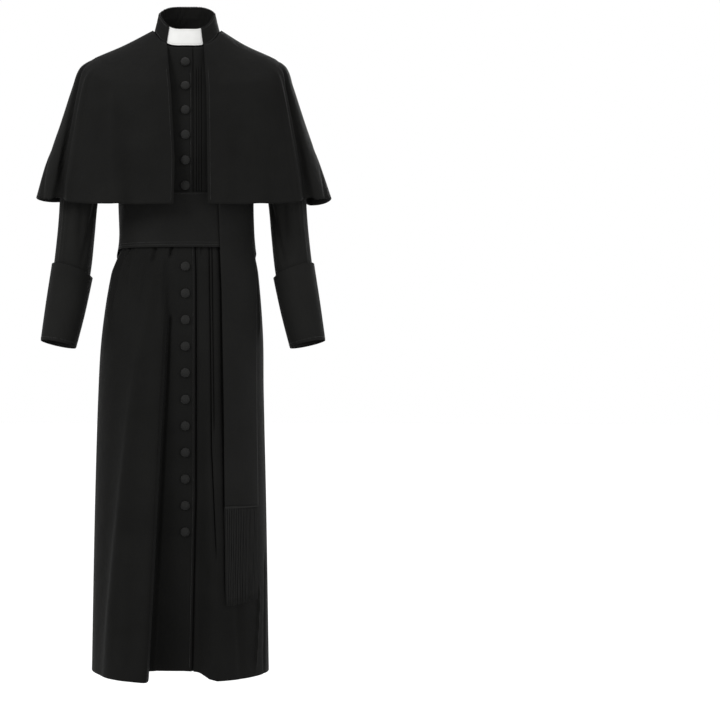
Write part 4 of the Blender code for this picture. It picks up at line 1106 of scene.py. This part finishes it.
class CASSOCK_OT_sash(bpy.types.Operator):
    """Make the sash's waistband, hanging end, fringe and fasteners"""
    bl_idname = "cassock.sash"
    bl_label = "Sash"

    def execute(self, context):
        cloth = context.scene.cassock_cloth
        trim = context.scene.cassock_trim
        finish = woven("sash_cloth", cloth.sash_colour, 0.0011, 0.62, 0.04, 0.035, 0.3, 0.25,
                       ribbed=True)
        angles = np.linspace(*SASH_ENDS, 281)
        shares = np.concatenate(([0.0, 0.015, 0.03], np.linspace(0.06, 0.94, 16),
                                 [0.97, 0.985, 1.0]))
        band = cloth_piece("sash_waistband", sash_points(angles, shares), finish,
                           ("sash_band",), SASH_WALL)
        levels = levels_between(TAIL_FOOT, TAIL_HEAD, 0.006)
        end = cloth_piece("sash_hanging_end", tail_points(levels, 25, TAIL_STAND), finish,
                          ("sash_tail",), SASH_WALL)
        fringe = self.make_fringe(trim.fringe_strands)
        white = grained("fastener_white", (0.5, 0.5, 0.49), 0.4, 0.4)
        for number, height in enumerate(FASTENER_HEIGHTS, start=1):
            self.make_fastener(number, height, white)
        return {"FINISHED"}

    def make_fringe(self, count):
        # painted light: the fringe's thread is over twice as light as the sash, against the strands' own
        # shade
        finish = grained("fringe_thread", (0.0150, 0.0150, 0.0146), 0.8, 0.04, 1500.0, 0.4, 0.0)
        rng = np.random.default_rng(7)
        bm = bmesh.new()
        for index in range(count):
            share = (index + 0.5) / count
            foot = FRINGE_FOOT + 0.010 * max(share - 0.15, 0.0) + rng.uniform(-0.0005, 0.0015)
            levels = np.linspace(FRINGE_HEAD, max(foot, FRINGE_LOWEST), 24)
            right = front_angles(levels, TAIL_RIGHT_EDGE)
            left = front_angles(levels, TAIL_LEFT_EDGE)
            down = (levels[0] - levels) / FRINGE_REACH
            drift = rng.uniform(-0.004, 0.004) * down**1.5
            phase = rng.uniform(0.0, 6.0)
            wiggle = 0.0006 * np.sin(levels * 60.0 + phase) * np.minimum(down * 4.0, 1.0)
            angles = right + (left - right) * np.clip(share + drift + wiggle, 0.004, 0.996)
            lift = FRINGE_STAND - 0.0024 * (index % 3 == 0) + 0.0003 * np.sin(levels * 50.0 + phase)
            strand(bm, BODY.points(levels, angles, lift, creased=0.0), STRAND_RADIUS)
        head = tail_points(np.array(BINDING_LEVELS), 25, BINDING_STAND)
        for row, above in zip(head, head[1:]):
            verts = [[bm.verts.new(Vector(spot)) for spot in line] for line in (row, above)]
            for index in range(len(row) - 1):
                bm.faces.new((verts[0][index], verts[0][index + 1], verts[1][index + 1],
                              verts[1][index]))
        return mesh_piece("sash_fringe_strands", bm, finish, ("sash_fringe",))

    def make_fastener(self, number, height, finish):
        low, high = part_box(f"sash_fastener_{number}")
        centre = (Vector(low) + Vector(high)) / 2
        angle = np.array((180.0 - SASH_OVER_EDGE - FASTENER_PAST,))
        level = np.array((height,))
        face = Vector((BODY.points(level, angle, 0.01) - BODY.points(level, angle))[0])
        bm = bmesh.new()
        bmesh.ops.create_cube(bm, size=1.0)
        bmesh.ops.scale(bm, vec=FASTENER_SIZE, verts=bm.verts)
        bmesh.ops.bevel(bm, geom=bm.edges[:], offset=0.0005, segments=2, profile=0.5,
                        affect="EDGES", material=-1)
        turn = Vector((0.0, 1.0, 0.0)).rotation_difference(face)
        bmesh.ops.rotate(bm, matrix=turn.to_matrix(), verts=bm.verts)
        bmesh.ops.translate(bm, vec=centre, verts=bm.verts)
        mesh_piece(f"fastener_{number}", bm, finish,
                   (f"sash_fastener_{number}",))


# ---------------------------------------------------------------- buttons
class CASSOCK_OT_buttons(bpy.types.Operator):
    """Make the covered buttons down the front"""
    bl_idname = "cassock.buttons"
    bl_label = "Covered buttons"

    def execute(self, context):
        trim = context.scene.cassock_trim
        finish = grained("button_cloth", (0.0090, 0.0090, 0.0086), 0.65, 0.08, 1800.0, 0.5, 0.08)
        for number in range(1, BUTTON_COUNT + 1):
            node = f"button_{number:02d}"
            low, high = (Vector(corner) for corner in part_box(node))
            height = BODY.level_at((low.z + high.z) / 2, BUTTON_X)
            angle = BODY.angle(height, BUTTON_X)
            spot = Vector(BODY.points(height, angle, BUTTON_STAND, creased=0.0)[0])
            face = Vector((BODY.points(height, angle, 0.01, 0.0)
                           - BODY.points(height, angle, 0.0, 0.0))[0])
            bm = bmesh.new()
            bmesh.ops.create_uvsphere(bm, u_segments=36, v_segments=24,
                                      radius=trim.button_radius)
            for vert in bm.verts:
                radius = vert.co.xy.length / trim.button_radius
                upper = trim.button_height / trim.button_radius
                vert.co.z *= upper if vert.co.z > 0.0 else 0.22
                turn = math.atan2(vert.co.y, vert.co.x)
                vert.co.z += 0.00025 * math.cos(turn * 6.0) * math.exp(-((radius - 0.4) / 0.25) ** 2)
            turn = Vector((0.0, 0.0, 1.0)).rotation_difference(face)
            bmesh.ops.rotate(bm, matrix=turn.to_matrix(), verts=bm.verts)
            bmesh.ops.translate(bm, vec=spot, verts=bm.verts)
            mesh_piece(f"covered_button_{number:02d}", bm, finish, (node,))
        return {"FINISHED"}


# ---------------------------------------------------------------- stitching
class CASSOCK_OT_stitching(bpy.types.Operator):
    """Make the topstitching along the placket, sash, cuffs, cape and tab"""
    bl_idname = "cassock.stitching"
    bl_label = "Topstitching"

    def execute(self, context):
        length = context.scene.cassock_trim.stitch
        thread = grained("stitch_thread", (0.0075, 0.0075, 0.0073), 0.6, 0.3, 3000.0, 0.3, 0.2)
        white = grained("stitch_white", (0.38, 0.38, 0.37), 0.5, 0.3, 3000.0)

        def on(form, levels, angles, out, creased=1.0):
            path = form.points(levels, angles, out, creased)
            return path, form.points(levels, angles, out + 0.01, creased) - path

        levels = np.linspace(-0.045, -1.366, 260)
        path, face = on(BODY, levels, front_angles(levels, PLACKET_EDGE, -0.0045), 0.0003)
        stitch_row("stitches_placket", path, face, thread, length)
        angles = np.linspace(-76.0, 76.0, 110)
        for name, share in (("stitches_sash_foot", 0.045), ("stitches_sash_hem", 0.088),
                            ("stitches_sash_head", 0.965)):
            path = sash_points(angles, np.array((share,)))[0]
            face = path * np.array((1.0, 1.0, 0.0))
            path = path + face / np.linalg.norm(face, axis=1)[:, None] * 0.0003
            stitch_row(name, path, face, thread, length)
        turns = np.linspace(0.0, 360.0, 97)
        for side, word in ((1, "left"), (-1, "right")):
            ring = along_loops([ring_points(ring, side, turns, 0.0002) for ring in CUFF_RINGS],
                               np.array((1.86,)))[0]
            face = ring - ring.mean(axis=0)
            stitch_row("stitches_cuff_" + word, ring, face, thread, length)
            edge = CAPE_LEFT_EDGE if side > 0 else CAPE_RIGHT_EDGE
            levels = np.linspace(-0.04, -0.349, 90)
            angles = CAPE.angle(levels, edge_x(edge, levels) + side * 0.006)
            path, face = on(CAPE, levels, angles, 0.0003)
            stitch_row("stitches_cape_" + word, path, face, thread, length)
        right_end, left_end = collar_ends()
        angles = np.linspace(left_end + 1.0, 359.0 + right_end, 160)
        for name, share in (("stitches_collar_foot", 0.10), ("stitches_collar_head", 0.90)):
            path = collar_points(angles, np.array((share,)), 0.0003)[0]
            face = collar_points(angles, np.array((share,)), 0.0103)[0] - path
            stitch_row(name, path, face, thread, length)
        for name, share in (("stitches_tab_foot", 0.15), ("stitches_tab_head", 0.87)):
            angles = np.linspace(right_end + 1.5, left_end - 1.5, 40)
            path = collar_points(angles, np.array((share,)), -0.0032)[0]
            face = collar_points(angles, np.array((share,)), 0.01)[0] - path
            stitch_row(name, path, face, white, 0.0018, 0.0009, 0.00035)
        return {"FINISHED"}


# ---------------------------------------------------------------- stage
Lamp = namedtuple("Lamp", "name place aim size power spread")
LAMPS = (
    Lamp("key", (-3.0, -2.9, 1.5), (0.0, 0.0, -0.3), 1.8, 9.0, 44.0),
    Lamp("fill", (2.9, -2.9, 0.2), (0.0, 0.0, -0.3), 2.4, 4.0, 44.0),
    Lamp("top", (0.0, 0.6, 2.6), (0.0, 0.0, -0.4), 2.0, 16.0, 180.0),
    Lamp("behind", (2.2, 3.6, 1.6), (0.0, 0.0, -0.3), 1.8, 7.0, 44.0),
)
FLOOR_LEVEL = -2.1
FLOOR_RADIUS = 40.0


class CASSOCK_OT_stage(bpy.types.Operator):
    """Make the floor, the soft light and the camera"""
    bl_idname = "cassock.stage"
    bl_label = "Stage"

    def execute(self, context):
        settings = context.scene.cassock_stage
        bm = bmesh.new()
        bmesh.ops.create_circle(bm, cap_ends=True, segments=96, radius=FLOOR_RADIUS,
                                matrix=Matrix.Translation((0.0, 0.0, FLOOR_LEVEL)))
        mesh = bpy.data.meshes.new("floor")
        bm.to_mesh(mesh)
        bm.free()
        mesh.materials.append(floor_paper_painted_shade_glow())
        floor = bpy.data.objects.new("floor", mesh)
        context.scene.collection.objects.link(floor)
        world = bpy.data.worlds.new("studio")
        world.use_nodes = True
        sky = world.node_tree.nodes["Background"]
        sky.inputs["Color"].default_value = (1.0, 1.0, 1.0, 1.0)
        sky.inputs["Strength"].default_value = 1.0
        context.scene.world = world
        for lamp in LAMPS:
            self.hang(lamp)
        camera = bpy.data.cameras.new("camera")
        camera.sensor_width = 36.0
        camera.lens = camera.sensor_width * settings.camera_distance / settings.picture_width
        camera.shift_x = settings.shift
        camera.dof.use_dof = False
        stand = bpy.data.objects.new("camera", camera)
        stand.location = (0.0, -settings.camera_distance, settings.camera_height)
        stand.rotation_euler = (math.radians(90.0), 0.0, 0.0)
        context.scene.collection.objects.link(stand)
        context.scene.camera = stand
        context.scene.view_settings.view_transform = "Standard"
        return {"FINISHED"}

    def hang(self, lamp):
        light = bpy.data.lights.new(lamp.name, "AREA")
        light.shape = "DISK"
        light.size = lamp.size
        light.energy = lamp.power
        light.spread = math.radians(lamp.spread)
        stand = bpy.data.objects.new(lamp.name, light)
        stand.location = lamp.place
        beam = Vector(lamp.aim) - Vector(lamp.place)
        stand.rotation_euler = beam.to_track_quat("-Z", "Y").to_euler()
        bpy.context.scene.collection.objects.link(stand)


class CASSOCK_PT_panel(bpy.types.Panel):
    """Lists the garment's operators and sizes"""
    bl_idname = "CASSOCK_PT_panel"
    bl_label = "Cassock"
    bl_space_type = "VIEW_3D"
    bl_region_type = "UI"
    bl_category = "Cassock"

    def draw(self, context):
        for operator in OPERATORS:
            self.layout.operator(operator.bl_idname)
        for group in ("cassock_cloth", "cassock_trim", "cassock_stage"):
            settings = getattr(context.scene, group)
            box = self.layout.box()
            for name in settings.__annotations__:
                box.prop(settings, name)


OPERATORS = (CASSOCK_OT_body, CASSOCK_OT_sleeves, CASSOCK_OT_collar, CASSOCK_OT_cape,
             CASSOCK_OT_sash, CASSOCK_OT_buttons, CASSOCK_OT_stitching, CASSOCK_OT_stage)
SETTINGS = {"cassock_cloth": ClothSettings, "cassock_trim": TrimSettings,
            "cassock_stage": StageSettings}


def register():
    for kind in (*SETTINGS.values(), *OPERATORS, CASSOCK_PT_panel):
        bpy.utils.register_class(kind)
    for name, kind in SETTINGS.items():
        setattr(bpy.types.Scene, name, PointerProperty(type=kind))


def unregister():
    for name in SETTINGS:
        delattr(bpy.types.Scene, name)
    for kind in (CASSOCK_PT_panel, *reversed(OPERATORS), *reversed(SETTINGS.values())):
        bpy.utils.unregister_class(kind)


def main():
    register()
    for operator in OPERATORS:
        group, name = operator.bl_idname.split(".")
        if getattr(getattr(bpy.ops, group), name)() != {"FINISHED"}:
            raise RuntimeError(operator.bl_label + " didn't finish")


if __name__ == "__main__":
    main()
